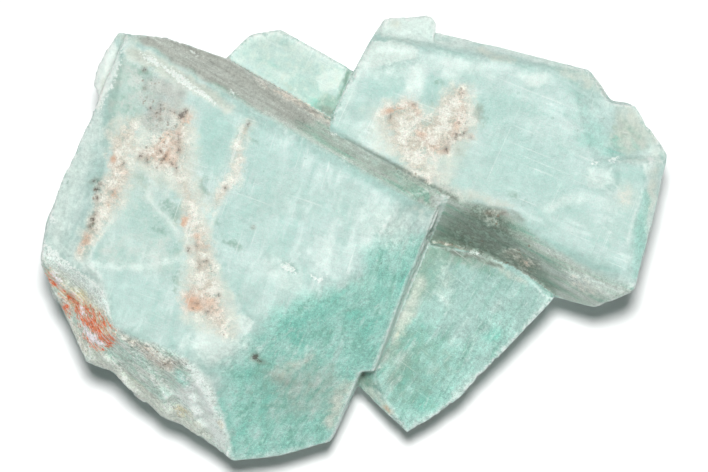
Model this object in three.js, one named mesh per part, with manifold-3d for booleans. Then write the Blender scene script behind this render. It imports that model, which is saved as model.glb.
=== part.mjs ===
// A rough cluster of four intergrown amazonite crystals that lies on its broken underside.
// Millimetres, +Z up. Seen from above, X runs along the cluster and Y across it.
// The crystals are grown into each other, so the cluster is one solid.
import * as THREE from "three";
import { ImprovedNoise } from "three/addons/math/ImprovedNoise.js";
import { mergeVertices } from "three/addons/utils/BufferGeometryUtils.js";
import Module from "manifold-3d";

// Heights of the crystals' main faces over the flat spot that the cluster rests on.
const BIG_TOP = 31;
const RIGHT_TOP = 28.3;
const SLAB_TOP = 22;
const SMALL_TOP = 21.5;
const CORNER_FLAKE_TOP = 29.6;
const BACK_FLAKE_TOP = 26.8;

// How far each kind of face is folded down from level, in degrees. Over 90 is undercut.
const LEVEL = 0;
const UPRIGHT = 90;
const WALL = 92;
const LEFT_WALL = 93;
const UNDERCUT = 97;
const FLAKE_UNDERCUT = 99;
const FACE_DOWN = 180;
const BIG_TOP_FOLD = 1;
const BIG_LEFT_FOLD = 22;
const BIG_CREST_FOLD = 18;
const BIG_FRONT_FOLD = 38;
const BIG_RIGHT_FOLD = 37;
const BIG_END_FOLD = 86;
const BIG_BACK_EDGE_FOLD = 20;
const BIG_BACK_FOLD = 42;
const BIG_FRACTURE_FOLD = 52;
const RIGHT_CREST_FOLD = 27;
const RIGHT_FRONT_FOLD = 62;
const RIGHT_END_FOLD = 42;
const RIGHT_BACK_FOLD = 55;
const RIGHT_CLEAVAGE_FOLD = 17;
const SLAB_TOP_FOLD = 12;
const SLAB_SIDE_FOLD = 50;
const SMALL_TOP_FOLD = 4;
const SMALL_SIDE_FOLD = 58;

// Sizes of the blocks that the crystals are cut from.
const REACH = 240;
const BLOCK_WIDTH = 100;
const BLOCK_DEPTH = 90;
const BLOCK_FLOOR = -4;
const BLOCK_HEIGHT = 50;

// Fractures: the spacing of their points, and how far they stand out and in.
const FRACTURE_CELL = 1.1;
const FRACTURE_THICKNESS = 30;
const FRACTURE_OVERRUN = 6;
const UNDERSIDE_CELL = 2.4;
const UNDERSIDE_OVERRUN = 11;

// Widths of the hills on fractures, and how far and how fast their terraces waver.
const COARSE_HILL = 7;
const FINE_HILL = 2.6;
const TERRACE_WAVER = 0.8;
const TERRACE_WAVER_ACROSS = 6;
const TERRACE_WAVER_ALONG = 14;

// The row of chips along the big crystal's back edge: the first, and the way from each to the next.
const BACK_EDGE_CHIPS = 9;
const BACK_EDGE_START = [-27, 23.9];
const BACK_EDGE_STEP = [1.2, -0.69];

const noise = new ImprovedNoise();
const wasm = await Module();
wasm.setup();

// A closed three.js geometry as a manifold-3d solid.
function solidOf(geometry) {
  const bare = geometry.clone();
  bare.deleteAttribute("normal");
  bare.deleteAttribute("uv");
  const merged = mergeVertices(bare, 1e-5);
  return new wasm.Manifold(
    new wasm.Mesh({
      numProp: 3,
      vertProperties: new Float32Array(merged.attributes.position.array),
      triVerts: new Uint32Array(merged.index.array),
    }),
  );
}

// A manifold-3d solid as a three.js geometry.
function geometryOf(solid) {
  const mesh = solid.getMesh();
  const geometry = new THREE.BufferGeometry();
  geometry.setAttribute("position", new THREE.BufferAttribute(new Float32Array(mesh.vertProperties), 3));
  geometry.setIndex(new THREE.BufferAttribute(new Uint32Array(mesh.triVerts), 1));
  geometry.computeVertexNormals();
  return geometry;
}

// The frame of a flat face that holds the level line from `from` to `to` at height z, and drops by `fold`
// degrees on the right-hand side of that line. Its X runs along the line, its Y up the face, its Z outwards.
function faceFrame(from, to, z, fold) {
  const along = new THREE.Vector3(to[0] - from[0], to[1] - from[1], 0).normalize();
  const angle = THREE.MathUtils.degToRad(fold);
  const outward = new THREE.Vector3(along.y * Math.sin(angle), -along.x * Math.sin(angle), Math.cos(angle));
  const upward = new THREE.Vector3().crossVectors(outward, along);
  const middle = new THREE.Vector3((from[0] + to[0]) / 2, (from[1] + to[1]) / 2, z);
  return new THREE.Matrix4().makeBasis(along, upward, outward).setPosition(middle);
}

// All space beyond a flat face.
function beyond(from, to, z, fold) {
  const block = new THREE.BoxGeometry(REACH, REACH, REACH);
  block.translate(0, 0, REACH / 2);
  block.applyMatrix4(faceFrame(from, to, z, fold));
  return solidOf(block);
}

// Soft hills and hollows between about -1 and 1.
function relief(x, y, seed) {
  const coarse = noise.noise(x / COARSE_HILL, y / COARSE_HILL, seed);
  const fine = noise.noise(x / FINE_HILL, y / FINE_HILL, seed + 9.3);
  return coarse + 0.5 * fine;
}

// Terraces between -0.5 and 0.5 that step across a face at `heading` degrees from its level line.
function terraces(x, y, { heading, pitch, seed }) {
  const angle = THREE.MathUtils.degToRad(heading);
  const across = x * Math.cos(angle) + y * Math.sin(angle);
  const along = y * Math.cos(angle) - x * Math.sin(angle);
  const waver = noise.noise(across / TERRACE_WAVER_ACROSS, along / TERRACE_WAVER_ALONG, seed);
  const step = across / pitch + TERRACE_WAVER * waver;
  return step - Math.floor(step) - 0.5;
}

// The space beyond a fracture: like `beyond`, but with hills, hollows and terraces, and only down its slope
// and `overrun` past its line's ends.
function beyondFracture(from, to, z, fold, { slope, hills, step, heading, pitch, seed, cell, overrun }) {
  const length = Math.hypot(to[0] - from[0], to[1] - from[1]) + 2 * overrun;
  const height = slope + overrun;
  const columns = Math.round(length / cell);
  const rows = Math.round(height / cell);
  const block = new THREE.BoxGeometry(length, height, FRACTURE_THICKNESS, columns, rows, 1);
  block.translate(0, overrun - height / 2, FRACTURE_THICKNESS / 2);
  const point = block.attributes.position;
  for (let i = 0; i < point.count; i++) {
    if (point.getZ(i) > 1) continue;
    const x = point.getX(i);
    const y = point.getY(i);
    point.setZ(i, hills * relief(x, y, seed) + step * terraces(x, y, { heading, pitch, seed }));
  }
  block.applyMatrix4(faceFrame(from, to, z, fold));
  return solidOf(block);
}

// A block with all space beyond each of the faces cut away. A face is [from, to, z, fold].
function crystal(faces) {
  const block = new THREE.BoxGeometry(BLOCK_WIDTH, BLOCK_DEPTH, BLOCK_HEIGHT);
  block.translate(0, 0, BLOCK_FLOOR + BLOCK_HEIGHT / 2);
  return faces.reduce((solid, face) => solid.subtract(beyond(...face)), solidOf(block));
}

// A notch: the space beyond both of two faces.
function notch(first, second) {
  return beyond(...first).intersect(beyond(...second));
}

// A chip to cut out at a point: a flat-sided lump, turned by `roll` degrees about its length and by `turn`
// degrees about Z.
function chip([x, y, z], [length, width, depth], turn, roll) {
  const lump = new THREE.IcosahedronGeometry(1, 0);
  lump.scale(length / 2, width / 2, depth);
  lump.rotateX(THREE.MathUtils.degToRad(roll));
  lump.rotateZ(THREE.MathUtils.degToRad(turn));
  lump.translate(x, y, z);
  return solidOf(lump);
}

// A thin plate on a face, drawn from above, with a bevelled rim and its top at the height `top`.
function plate(outline, top, thickness, rim) {
  const shape = new THREE.Shape(outline.map(([x, y]) => new THREE.Vector2(x, y)));
  const body = new THREE.ExtrudeGeometry(shape, {
    depth: thickness - 2 * rim,
    bevelThickness: rim,
    bevelSize: rim * 2,
    bevelOffset: -rim * 2,
    bevelSegments: 1,
  });
  body.translate(0, 0, top - thickness + rim);
  return solidOf(body);
}

// A recess low on a wall: what lies beyond a wall set further in, under a ledge that dips by `dip` degrees.
function recess(from, to, z, dip) {
  return notch([from, to, z, WALL], [from, to, z, FACE_DOWN - dip]);
}

// The big crystal: an almost level main face, a broad front slope, a narrow back slope and a fractured
// lower left end.
function bigCrystal() {
  const faces = [
    [[-40, 3], [12, 3], BIG_TOP, BIG_TOP_FOLD],
    // left bevel and the two left walls
    [[-31.2, 17], [-34, -4], BIG_TOP, BIG_LEFT_FOLD],
    [[-33.3, 18.2], [-39.75, 3.4], 28.8, LEFT_WALL],
    [[-39.75, 3.4], [-40.75, -4.2], 28.5, LEFT_WALL],
    // foot of the fractured end
    [[-40.7, -3.4], [-34.6, -16.8], 22, WALL],
    [[-35, -16.2], [-15.4, -29.6], 20, WALL],
    // front slope with its worn crest, and the walls at its foot
    [[-18.2, -13.4], [0.2, -4.3], BIG_TOP, BIG_CREST_FOLD],
    [[-17.4, -14.3], [0.5, -5.6], BIG_TOP, BIG_FRONT_FOLD],
    [[-16.4, -29.45], [-9.9, -28.9], 18, WALL],
    [[-9.9, -28.9], [-2.8, -27], 17, WALL],
    // right bevel and end wall
    [[0.5, -5.5], [6.4, 5.2], BIG_TOP, BIG_RIGHT_FOLD],
    [[3, -17.9], [12.35, 4.9], 17.5, BIG_END_FOLD],
    // back slope with its worn edge, and the walls at its foot
    [[8.2, 3.2], [-27.5, 23.6], BIG_TOP, BIG_BACK_EDGE_FOLD],
    [[8.2, 4.1], [-27.5, 24.5], BIG_TOP, BIG_BACK_FOLD],
    [[6, 9.9], [-16.4, 22.9], 27, WALL],
    [[-16, 22.9], [-23.5, 25.5], 28, WALL],
    [[-23.5, 25.65], [-30, 26.1], 29, WALL],
    [[-29.3, 26.2], [-33.1, 17.6], 30, LEFT_WALL],
  ];
  // The fractured end: a scoop on the left, and a long face below it.
  const leftScoop = beyondFracture([-41.5, -0.9], [-30.5, -8.2], 30.2, 50, {
    slope: 22,
    hills: 0.5,
    step: 0.9,
    heading: 62,
    pitch: 3.1,
    seed: 2.7,
    cell: FRACTURE_CELL,
    overrun: FRACTURE_OVERRUN,
  }).intersect(beyond([-32.9, -4.8], [-30.9, -12], BIG_TOP, BIG_FRACTURE_FOLD));
  const lowerFace = beyondFracture([-32.2, -12], [-18.6, -17.8], BIG_TOP, 53, {
    slope: 26,
    hills: 0.45,
    step: 1.1,
    heading: 38,
    pitch: 3.6,
    seed: 5.1,
    cell: FRACTURE_CELL,
    overrun: FRACTURE_OVERRUN,
  });
  // The lower right end is set back in a step.
  const setBack = notch([[-3, -26.9], [1.25, -17.7], 17, 88], [[0, -17.75], [4, -17.75], 17, UPRIGHT]);
  return crystal(faces).subtract(leftScoop).subtract(lowerFace).subtract(setBack);
}

// The right crystal: a level main face, a steep front, a dark back strip and a stepped right end.
function rightCrystal() {
  const faces = [
    [[0, 10], [30, 10], RIGHT_TOP, LEVEL],
    // front with its worn upper edge, and the walls at its foot
    [[11, 6], [30, -2.9], RIGHT_TOP, RIGHT_CREST_FOLD],
    [[-2.9, 13.3], [30.5, -5.4], RIGHT_TOP, RIGHT_FRONT_FOLD],
    [[20, -6.6], [31.5, -9.45], 21, WALL],
    [[31.5, -9.45], [36.4, -7.1], 22, WALL],
    // right end
    [[36, -5], [37.8, 7], RIGHT_TOP, RIGHT_END_FOLD],
    [[36.45, -7], [38.9, 1.6], 25, WALL],
    [[38.9, 1.6], [40.9, 10.4], 25, WALL],
    [[41, 10.2], [36.6, 16.8], 25, WALL],
    [[37.6, 16.6], [32, 20.6], 25, WALL],
    // back strip and back wall
    [[29.2, 20.9], [9.5, 24.2], RIGHT_TOP, RIGHT_BACK_FOLD],
    [[31, 21.35], [3.9, 28.25], 26, WALL],
    // left wall
    [[3.95, 28.4], [-0.3, 20.6], RIGHT_TOP, WALL],
    [[-0.3, 20.6], [-2.9, 15], RIGHT_TOP, WALL],
    [[-2.75, 16], [-2.95, 13], RIGHT_TOP, WALL],
  ];
  // The upper right corner has cleaved off along a gentle slope.
  const cleavage = notch(
    [[31.2, 9], [28, 20.5], RIGHT_TOP, RIGHT_CLEAVAGE_FOLD],
    [[42, 9.9], [30, 9.4], RIGHT_TOP, 88],
  );
  // Two steps at the back of the right end, each down to a ledge.
  const highStep = notch([[33.8, 17.2], [30.8, 21.7], 20, 88], [[38, 16.9], [33.5, 17.4], 20, 88]);
  const lowStep = notch([[38.3, 13.6], [37.5, 16], 22, 88], [[40, 13.8], [38, 14.1], 22, 88]);
  return crystal(faces)
    .subtract(cleavage)
    .subtract(highStep.intersect(beyond([35, 17], [33, 19], 15, 10)))
    .subtract(lowStep.intersect(beyond([39, 14], [37, 16], 21, 12)));
}

// The slab: a tilted plate low between the two larger crystals.
function slabCrystal() {
  return crystal([
    [[19.6, -1.8], [24.4, -8.2], SLAB_TOP, SLAB_TOP_FOLD],
    [[-6, -40], [-6, -50], SLAB_TOP, UPRIGHT],
    // left side face
    [[2.7, -17.4], [5.1, -23.6], 17, SLAB_SIDE_FOLD],
    // foot walls, from the left round to the back
    [[0.6, -19.9], [7.2, -25.85], 15.5, UNDERCUT],
    [[7.2, -25.95], [13.2, -22.1], 17.5, UNDERCUT],
    [[13.2, -22.1], [18.4, -16.8], 19, UNDERCUT],
    [[18.4, -16.8], [26.25, -8], 21, UNDERCUT],
    [[26.3, -8.05], [21, -4.15], SLAB_TOP, 91],
    [[21, -4.15], [15, -1.95], SLAB_TOP, 91],
    [[15, -1.95], [10, -1], SLAB_TOP, 91],
  ]);
}

// The small crystal behind the big one.
function smallCrystal() {
  return crystal([
    [[-14, 20], [0, 20], SMALL_TOP, SMALL_TOP_FOLD],
    [[-2.4, 16.6], [-0.8, 21.8], SMALL_TOP, SMALL_SIDE_FOLD],
    [[1, 20.85], [-9.5, 26.75], 20, WALL],
    [[-9.3, 26.75], [-13.5, 26.05], 20, WALL],
    [[-13, 26.4], [-17, 22.5], 20, WALL],
    [[-16, 8], [4, 8], 20, UPRIGHT],
  ]);
}

// Flakes on the crystals' ends, undercut so that they run out below, and thin plates on their faces.
function flakes() {
  const cornerFlake = crystal([
    [[-30.4, 26.5], [-32.2, 24], CORNER_FLAKE_TOP, FLAKE_UNDERCUT],
    [[-32.2, 24], [-33.6, 21.5], CORNER_FLAKE_TOP, FLAKE_UNDERCUT],
    [[-33.6, 21.5], [-33.9, 19.3], CORNER_FLAKE_TOP, FLAKE_UNDERCUT],
    [[-33.9, 19.3], [-33.1, 17.6], CORNER_FLAKE_TOP, FLAKE_UNDERCUT],
    [[-33.1, 17.6], [-29, 17], CORNER_FLAKE_TOP, FLAKE_UNDERCUT],
    [[-28, 17], [-27, 26.1], CORNER_FLAKE_TOP, UPRIGHT],
    [[-27, 25.9], [-30.4, 26.5], CORNER_FLAKE_TOP, FLAKE_UNDERCUT],
    // the top, level at first, then down to the rim
    [[-29.6, 26], [-32.3, 17.5], CORNER_FLAKE_TOP, 8],
    [[-30.7, 26], [-33.1, 18], CORNER_FLAKE_TOP, 34],
  ]);
  const backFlake = crystal([
    [[3.9, 28.6], [3.8, 25], BACK_FLAKE_TOP, WALL],
    [[3.8, 25], [10.4, 25], BACK_FLAKE_TOP, UPRIGHT],
    [[10.4, 25.3], [11.1, 27.5], BACK_FLAKE_TOP, 112],
    [[11.1, 27.5], [9.9, 29], BACK_FLAKE_TOP, 112],
    [[9.9, 29], [3.9, 28.3], BACK_FLAKE_TOP, 114],
    [[10, 27.2], [4, 26.9], BACK_FLAKE_TOP, 12],
  ]);
  const backOutline = [[2, 24.4], [2.6, 23], [5, 22.7], [8, 22.9], [8.5, 24], [7.5, 24.8], [4, 25.2]];
  const backPlate = plate(backOutline, 28.8, 3, 0.25);
  const rightPlate = plate([[30.2, 9], [31, 6.9], [34, 6.3], [34.2, 8.3], [33.2, 9]], 28.65, 3, 0.2);
  return [cornerFlake, backFlake, backPlate, rightPlate];
}

// Chips knocked out of the crystals' edges.
function chips() {
  const crest = [
    chip([-8.3, -4.2, BIG_TOP], [2.8, 1.2, 0.6], 150, 20),
    chip([-4.4, -5.9, BIG_TOP], [3.2, 1.1, 0.5], 155, 35),
    chip([-13.6, -11.8, 30.9], [3.4, 1.8, 0.8], 27, 10),
  ];
  const backEdge = [];
  for (let i = 0; i < BACK_EDGE_CHIPS; i++) {
    const x = BACK_EDGE_START[0] + i * BACK_EDGE_STEP[0];
    const y = BACK_EDGE_START[1] + i * BACK_EDGE_STEP[1];
    const size = [2.6 + 0.9 * Math.sin(i * 2.1), 1.9 + 0.4 * Math.sin(i * 3.3), 0.9];
    backEdge.push(chip([x, y, BIG_TOP + 0.2], size, -30 + 14 * Math.sin(i * 1.7), 25 + 60 * i));
  }
  return [...crest, ...backEdge];
}

// Recesses in the crystals' lower walls.
function recesses() {
  return [
    recess([-31.6, 18.5], [-38.7, 2], 19, 12),
    recess([-15.5, -28.2], [-4, -26.7], 11, 5),
    recess([29, 20.6], [7, 26.5], 19, 9),
    recess([36, -4.5], [39.4, 9.4], 17, 11),
    recess([9, -24.2], [24.5, -10.2], 12, 7),
  ];
}

// The broken underside: fractures that rise from the flat spot to the walls, each given by its level line.
function underside() {
  const breaks = [
    [[-37.8, 14], [-37.8, -12], 12, 138],
    [[-36, -10], [-15, -25], 9, 137],
    [[-17, -26.8], [2, -24.8], 8, 140],
    [[-30, -14.1], [10, -23], 5, 150],
    [[9, -22.5], [23, -8.5], 9, 149],
    [[22, -9], [36, -5], 9, 146],
    [[35.5, -6], [38.5, 9], 12, 142],
    [[38, 9], [29, 20], 12, 139],
    [[30, 19.8], [4, 25.2], 10, 143],
    [[2, 23.5], [-13, 24.5], 10, 145],
    [[-15, 22.5], [-29, 23.8], 9, 138],
    [[-28, 24], [-37, 9], 10, 138],
  ];
  return breaks.map(([from, to, z, fold], index) =>
    beyondFracture(from, to, z, fold, {
      slope: 20,
      hills: 0.9,
      step: 0.8,
      heading: 20 + 37 * index,
      pitch: 5,
      seed: 11.3 + index,
      cell: UNDERSIDE_CELL,
      overrun: UNDERSIDE_OVERRUN,
    }),
  );
}

function cluster() {
  let solid = bigCrystal().add(rightCrystal()).add(slabCrystal()).add(smallCrystal());
  for (const piece of flakes()) solid = solid.add(piece);
  for (const cut of [...chips(), ...recesses(), ...underside()]) solid = solid.subtract(cut);
  solid = solid.subtract(beyond([0, 0], [1, 0], 0, FACE_DOWN));
  const geometry = geometryOf(solid);
  geometry.computeBoundingBox();
  const middle = geometry.boundingBox.getCenter(new THREE.Vector3());
  geometry.translate(-middle.x, -middle.y, 0);
  return geometry;
}

const amazonite = new THREE.Mesh(
  cluster(),
  new THREE.MeshStandardMaterial({ color: 0xb4e0d6, roughness: 0.5, metalness: 0 }),
);
amazonite.name = "amazonite_cluster";

const specimen = new THREE.Group();
specimen.add(amazonite);

export default specimen;
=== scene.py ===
import math

import bpy
import numpy as np
from mathutils import Matrix, Vector


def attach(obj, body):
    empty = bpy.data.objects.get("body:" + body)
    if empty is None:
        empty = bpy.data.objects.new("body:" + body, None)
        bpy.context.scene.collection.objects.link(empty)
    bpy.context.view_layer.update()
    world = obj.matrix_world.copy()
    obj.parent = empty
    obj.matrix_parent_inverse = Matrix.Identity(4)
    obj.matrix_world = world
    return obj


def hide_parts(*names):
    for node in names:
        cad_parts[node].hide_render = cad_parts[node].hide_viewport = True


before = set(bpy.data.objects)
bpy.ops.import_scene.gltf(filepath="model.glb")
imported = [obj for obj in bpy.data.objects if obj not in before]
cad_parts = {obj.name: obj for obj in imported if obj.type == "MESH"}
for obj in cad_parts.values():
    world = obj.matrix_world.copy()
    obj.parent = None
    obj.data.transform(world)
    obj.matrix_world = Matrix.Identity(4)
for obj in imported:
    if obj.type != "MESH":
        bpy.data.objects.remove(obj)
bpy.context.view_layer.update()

NODE = "amazonite_cluster"
MOST_TRIANGLES = 194000
MM = 0.001

# The stone is shaped and its marks are drawn in millimetres, on a sheet seen from above.
# This is where the sheet's origin lies in the frame.
SHEET_X, SHEET_Y = -0.128, 0.304
# the spacing of the even mesh that the relief is made on
VOXEL = 0.25
# a depth that lies outside every mark and outline
OUTSIDE = -9


# ---------------------------------------------------------------- noise in numpy

def hashed(cells, seed):
    """A number between -1 and 1 for each whole-number cell. The large numbers only scramble the bits."""
    h = cells[:, 0] * 374761393 + cells[:, 1] * 668265263 + cells[:, 2] * 2147483647 + seed * 974711
    for shift, scramble in ((13, 1274126177), (16, 2246822519)):
        h = (h ^ (h >> shift)) & 0xFFFFFFFF
        h = (h * scramble) & 0xFFFFFFFF
    h = h ^ (h >> 15)
    return (h & 0xFFFF) / 32767.5 - 1.0


def noise(points, seed):
    """Smooth noise between about -1 and 1, one cell per unit."""
    base = np.floor(points).astype(np.int64)
    f = points - base
    u = f * f * f * (f * (f * 6 - 15) + 10)
    total = np.zeros(len(points))
    for corner in range(8):
        d = np.array([corner & 1, corner >> 1 & 1, corner >> 2 & 1])
        weight = np.prod(np.where(d == 1, u, 1 - u), axis=1)
        total += weight * hashed(base + d, seed)
    return total


def fbm(points, octaves, seed):
    """Noise with finer noise laid over it."""
    total, size = np.zeros(len(points)), 1.0
    for octave in range(octaves):
        total += size * noise(points * 2.0 ** octave + 17.3 * octave, seed + octave)
        size *= 0.5
    return total / 1.6


def smooth(value, low, high):
    """0 below low, 1 above high, and a soft rise between them."""
    t = np.clip((value - low) / (high - low), 0, 1)
    return t * t * (3 - 2 * t)


# ---------------------------------------------------------------- shapes on the sheet

def to_line(xy, a, b):
    """Each point's distance to the line from a to b, and how far along it the nearest place is, 0 to 1."""
    a, d = np.array(a), np.array(b) - np.array(a)
    t = np.clip(((xy - a) @ d) / (d @ d), 0, 1)
    return np.linalg.norm(xy - a - t[:, None] * d, axis=1), t


def stroke(xy, *points):
    """How far inside a line of changing width each point lies. A point of the line is (x, y, half width)."""
    best = np.full(len(xy), -99.0)
    for (ax, ay, aw), (bx, by, bw) in zip(points, points[1:]):
        away, t = to_line(xy, (ax, ay), (bx, by))
        best = np.maximum(best, aw + t * (bw - aw) - away)
    return best


def spot(xy, x, y, across, along=None, turn=0):
    """How far inside an ellipse each point lies. Its radii are across and along, and turn is in degrees."""
    along = across if along is None else along
    c, s = math.cos(math.radians(turn)), math.sin(math.radians(turn))
    dx, dy = xy[:, 0] - x, xy[:, 1] - y
    u, v = (c * dx + s * dy) / across, (c * dy - s * dx) / along
    return (1 - np.hypot(u, v)) * min(across, along)


def inside(xy, *outline):
    """How far inside an outline each point lies, and negative outside it."""
    nearest = np.full(len(xy), 99.0)
    odd = np.zeros(len(xy), bool)
    for (ax, ay), (bx, by) in zip(outline, outline[1:] + outline[:1]):
        nearest = np.minimum(nearest, to_line(xy, (ax, ay), (bx, by))[0])
        if ay != by:
            crosses = (ay > xy[:, 1]) != (by > xy[:, 1])
            odd ^= crosses & (xy[:, 0] < (bx - ax) * (xy[:, 1] - ay) / (by - ay) + ax)
    return np.where(odd, nearest, -nearest)


# Outlines of the four crystals, and of the faces that differ in colour or grain.
BIG = [
    (-33.6, 26), (-33.3, 17.9), (-39.75, 3.4), (-41, -3.6), (-34.8, -17), (-16, -30), (-9.9, -29.5),
    (-2.6, -27.5), (1.2, -17.8), (3, -17.9), (12.5, 4.9), (-2.9, 13.4), (-3, 15.4), (-8.3, 18.5), (-16, 22.8),
    (-23.5, 26), (-30, 26.6)]
RIGHT = [
    (-2.9, 13.4), (12.4, 4.9), (10, -1), (15, -2.1), (21, -4.2), (26.3, -8), (31.5, -10), (37, -7.4),
    (39.4, 1.6), (41.5, 10.4), (38, 16.5), (32, 21.5), (10, 29.5), (3.9, 29), (-0.3, 20.6), (-2.9, 15)]
SLAB = [
    (1.2, -17.8), (0, -19.9), (7.2, -27), (13.8, -22.3), (19, -16.8), (26.9, -8), (21, -4.15), (15, -2),
    (10, -1), (3, -17.9)]
SMALL = [(-3, 15.4), (-8.3, 18.5), (-16, 22.8), (-13.7, 27), (-9.3, 27.6), (0.6, 21.4), (-0.3, 20.6)]
FRACTURE = [
    (-43, -1), (-40, -1.9), (-37.5, -3.3), (-34.8, -5.4), (-32.7, -6.9), (-31.7, -9.15), (-31, -11.5),
    (-30, -12.8), (-26.7, -13.8), (-23, -15.15), (-20, -17.5), (-18, -20.3), (-17, -23.8), (-16.1, -27.15),
    (-15.9, -32), (-46, -32)]
BACK_SLOPE = [
    (-31, 27.5), (-17.6, 19.1), (8.2, 4.3), (13.5, 1.5), (13, 6), (-2.4, 15.8), (-8, 19), (-15, 24),
    (-31, 30)]
RIGHT_FRONT = [
    (11.5, 6), (15, 4.5), (18.9, 3.3), (21, 2.3), (25, -1.2), (31, -4.8), (37, -7), (37, -12), (25, -10),
    (9, -2)]


# ---------------------------------------------------------------- the stone's mesh

def new_object(name, data):
    made = bpy.data.objects.new(name, data)
    bpy.context.scene.collection.objects.link(made)
    return made


def modified(work, kind, **settings):
    """The mesh that one modifier makes of an object. The object goes away."""
    modifier = work.modifiers.new("work", kind)
    for key, value in settings.items():
        setattr(modifier, key, value)
    made = bpy.data.meshes.new_from_object(work.evaluated_get(bpy.context.evaluated_depsgraph_get()))
    bpy.data.objects.remove(work)
    return made


def even_copy(source):
    """A closed, evenly meshed copy of a solid, in millimetres on the sheet."""
    rough = source.data.copy()
    rough.transform(Matrix.Translation((-SHEET_X, -SHEET_Y, 0)) @ Matrix.Scale(1 / MM, 4))
    made = modified(new_object("work", rough), "REMESH", mode="VOXEL", voxel_size=VOXEL)
    bpy.data.meshes.remove(rough)
    return made


class Surface:
    """The points of a mesh as an array, with the links between them."""

    def __init__(self, mesh):
        self.mesh = mesh
        self.count = len(mesh.vertices)
        self.points = np.empty(self.count * 3, np.float32)
        mesh.vertices.foreach_get("co", self.points)
        self.points = self.points.reshape(-1, 3).astype(float)
        links = np.empty(len(mesh.edges) * 2, np.int32)
        mesh.edges.foreach_get("vertices", links)
        self.links = links.reshape(-1, 2)
        self.degree = np.bincount(links, minlength=self.count).astype(float)

    def store(self):
        self.mesh.vertices.foreach_set("co", self.points.astype(np.float32).ravel())
        self.mesh.update()

    def normals(self):
        self.store()
        found = np.empty(self.count * 3, np.float32)
        self.mesh.vertex_normals.foreach_get("vector", found)
        return found.reshape(-1, 3).astype(float)

    def averaged(self, values):
        """Each point's neighbours' average."""
        a, b = self.links[:, 0], self.links[:, 1]
        columns = values.reshape(self.count, -1)
        total = [np.bincount(a, c[b], self.count) + np.bincount(b, c[a], self.count) for c in columns.T]
        return (np.array(total).T / self.degree[:, None]).reshape(values.shape)

    def sharpness(self, rounds):
        """How far each point stands out from what is round it: much on sharp edges."""
        around = self.points
        for _ in range(rounds):
            around = self.averaged(around)
        return np.einsum("ij,ij->i", self.points - around, self.normals())

    def relax(self, rounds, amount):
        """Smooths the surface. amount is one number or one per point."""
        amount = np.broadcast_to(amount, self.count)[:, None]
        for _ in range(rounds):
            self.points += amount * (self.averaged(self.points) - self.points)

    def push(self, height):
        """Moves each point along the surface's normal."""
        self.points += self.normals() * height[:, None]

    def lift(self):
        """Lifts what lies below the floor up to it."""
        self.points[:, 2] = np.maximum(self.points[:, 2], 0)

    def thin(self, share, target):
        """Joins points down to target triangles. Where share is 1 they go first, where it is 0 they stay."""
        self.store()
        work = new_object("work", self.mesh)
        group = work.vertex_groups.new(name="share")
        steps = 10
        for step in range(steps + 1):
            chosen = np.flatnonzero(np.rint(share * steps).astype(int) == step)
            group.add(chosen.tolist(), step / steps, "REPLACE")
        triangles = sum(len(p.vertices) - 2 for p in self.mesh.polygons)
        self.__init__(modified(
            work, "DECIMATE", ratio=min(1.0, target / triangles), vertex_group="share",
            vertex_group_factor=1000, use_collapse_triangulate=True))


def fibre_space(points, normals, faces, headings):
    """Points drawn out along their face's grain. There is a heading for each face, and one for the rest."""
    x, y, z = points.T
    angle = np.radians(np.select(faces, headings[:-1], default=headings[-1]))
    along = x * np.cos(angle) + y * np.sin(angle)
    across = y * np.cos(angle) - x * np.sin(angle)
    top = np.stack([along / 9, across, z], axis=1)
    # the streaks on the walls lie level
    wall = np.stack([x / 5, y / 5, z * 1.3], axis=1)
    return np.where((normals[:, 2] < 0.25)[:, None], wall, top)


class Regions:
    """Which crystal and which face each point is on."""

    def __init__(self, points, normals):
        xy, level = points[:, :2], points[:, 2]
        self.crystal = np.argmax([inside(xy, *outline) for outline in (BIG, RIGHT, SLAB, SMALL)], axis=0)
        self.upward = smooth(normals[:, 2], 0.1, 0.35)
        # These two outlines reach over lower parts that aren't in the face.
        self.fracture = np.where((self.crystal == 0) & (level > 1), inside(xy, *FRACTURE), OUTSIDE)
        self.back = np.where((self.crystal == 0) & (level > 15), inside(xy, *BACK_SLOPE), OUTSIDE)
        self.front = np.where(self.crystal == 1, inside(xy, *RIGHT_FRONT), OUTSIDE)
        faces = [self.fracture > 0, self.back > 0, self.front > 0, *[self.crystal == i for i in range(3)]]
        # the headings of each face's streaks, and of the fainter ones that cross them, in degrees
        self.fibre = fibre_space(points, normals, faces, (-47, -30, -24, 72, -22, 57, -30))
        self.cross = fibre_space(points, normals, faces, (30, 60, 70, -20, 66, -35, 65))


def blocks(points, size, seed):
    """A number for each of many blocks, laid like bricks and turned: cleavage steps."""
    turn, slant, thickness = 0.5, 0.15, 0.5 * size
    c, s = math.cos(turn), math.sin(turn)
    x, y, z = points[:, 0] * c + points[:, 1] * s, points[:, 1] * c - points[:, 0] * s, points[:, 2]
    layer = np.floor((z + slant * x) / thickness)
    shift = 0.5 * size * hashed(np.stack([layer, layer, layer], axis=1).astype(np.int64), seed)
    cells = [np.floor((x + shift) / size), np.floor((y - shift) / size), layer]
    return hashed(np.stack(cells, axis=1).astype(np.int64), seed + 1)


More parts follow.
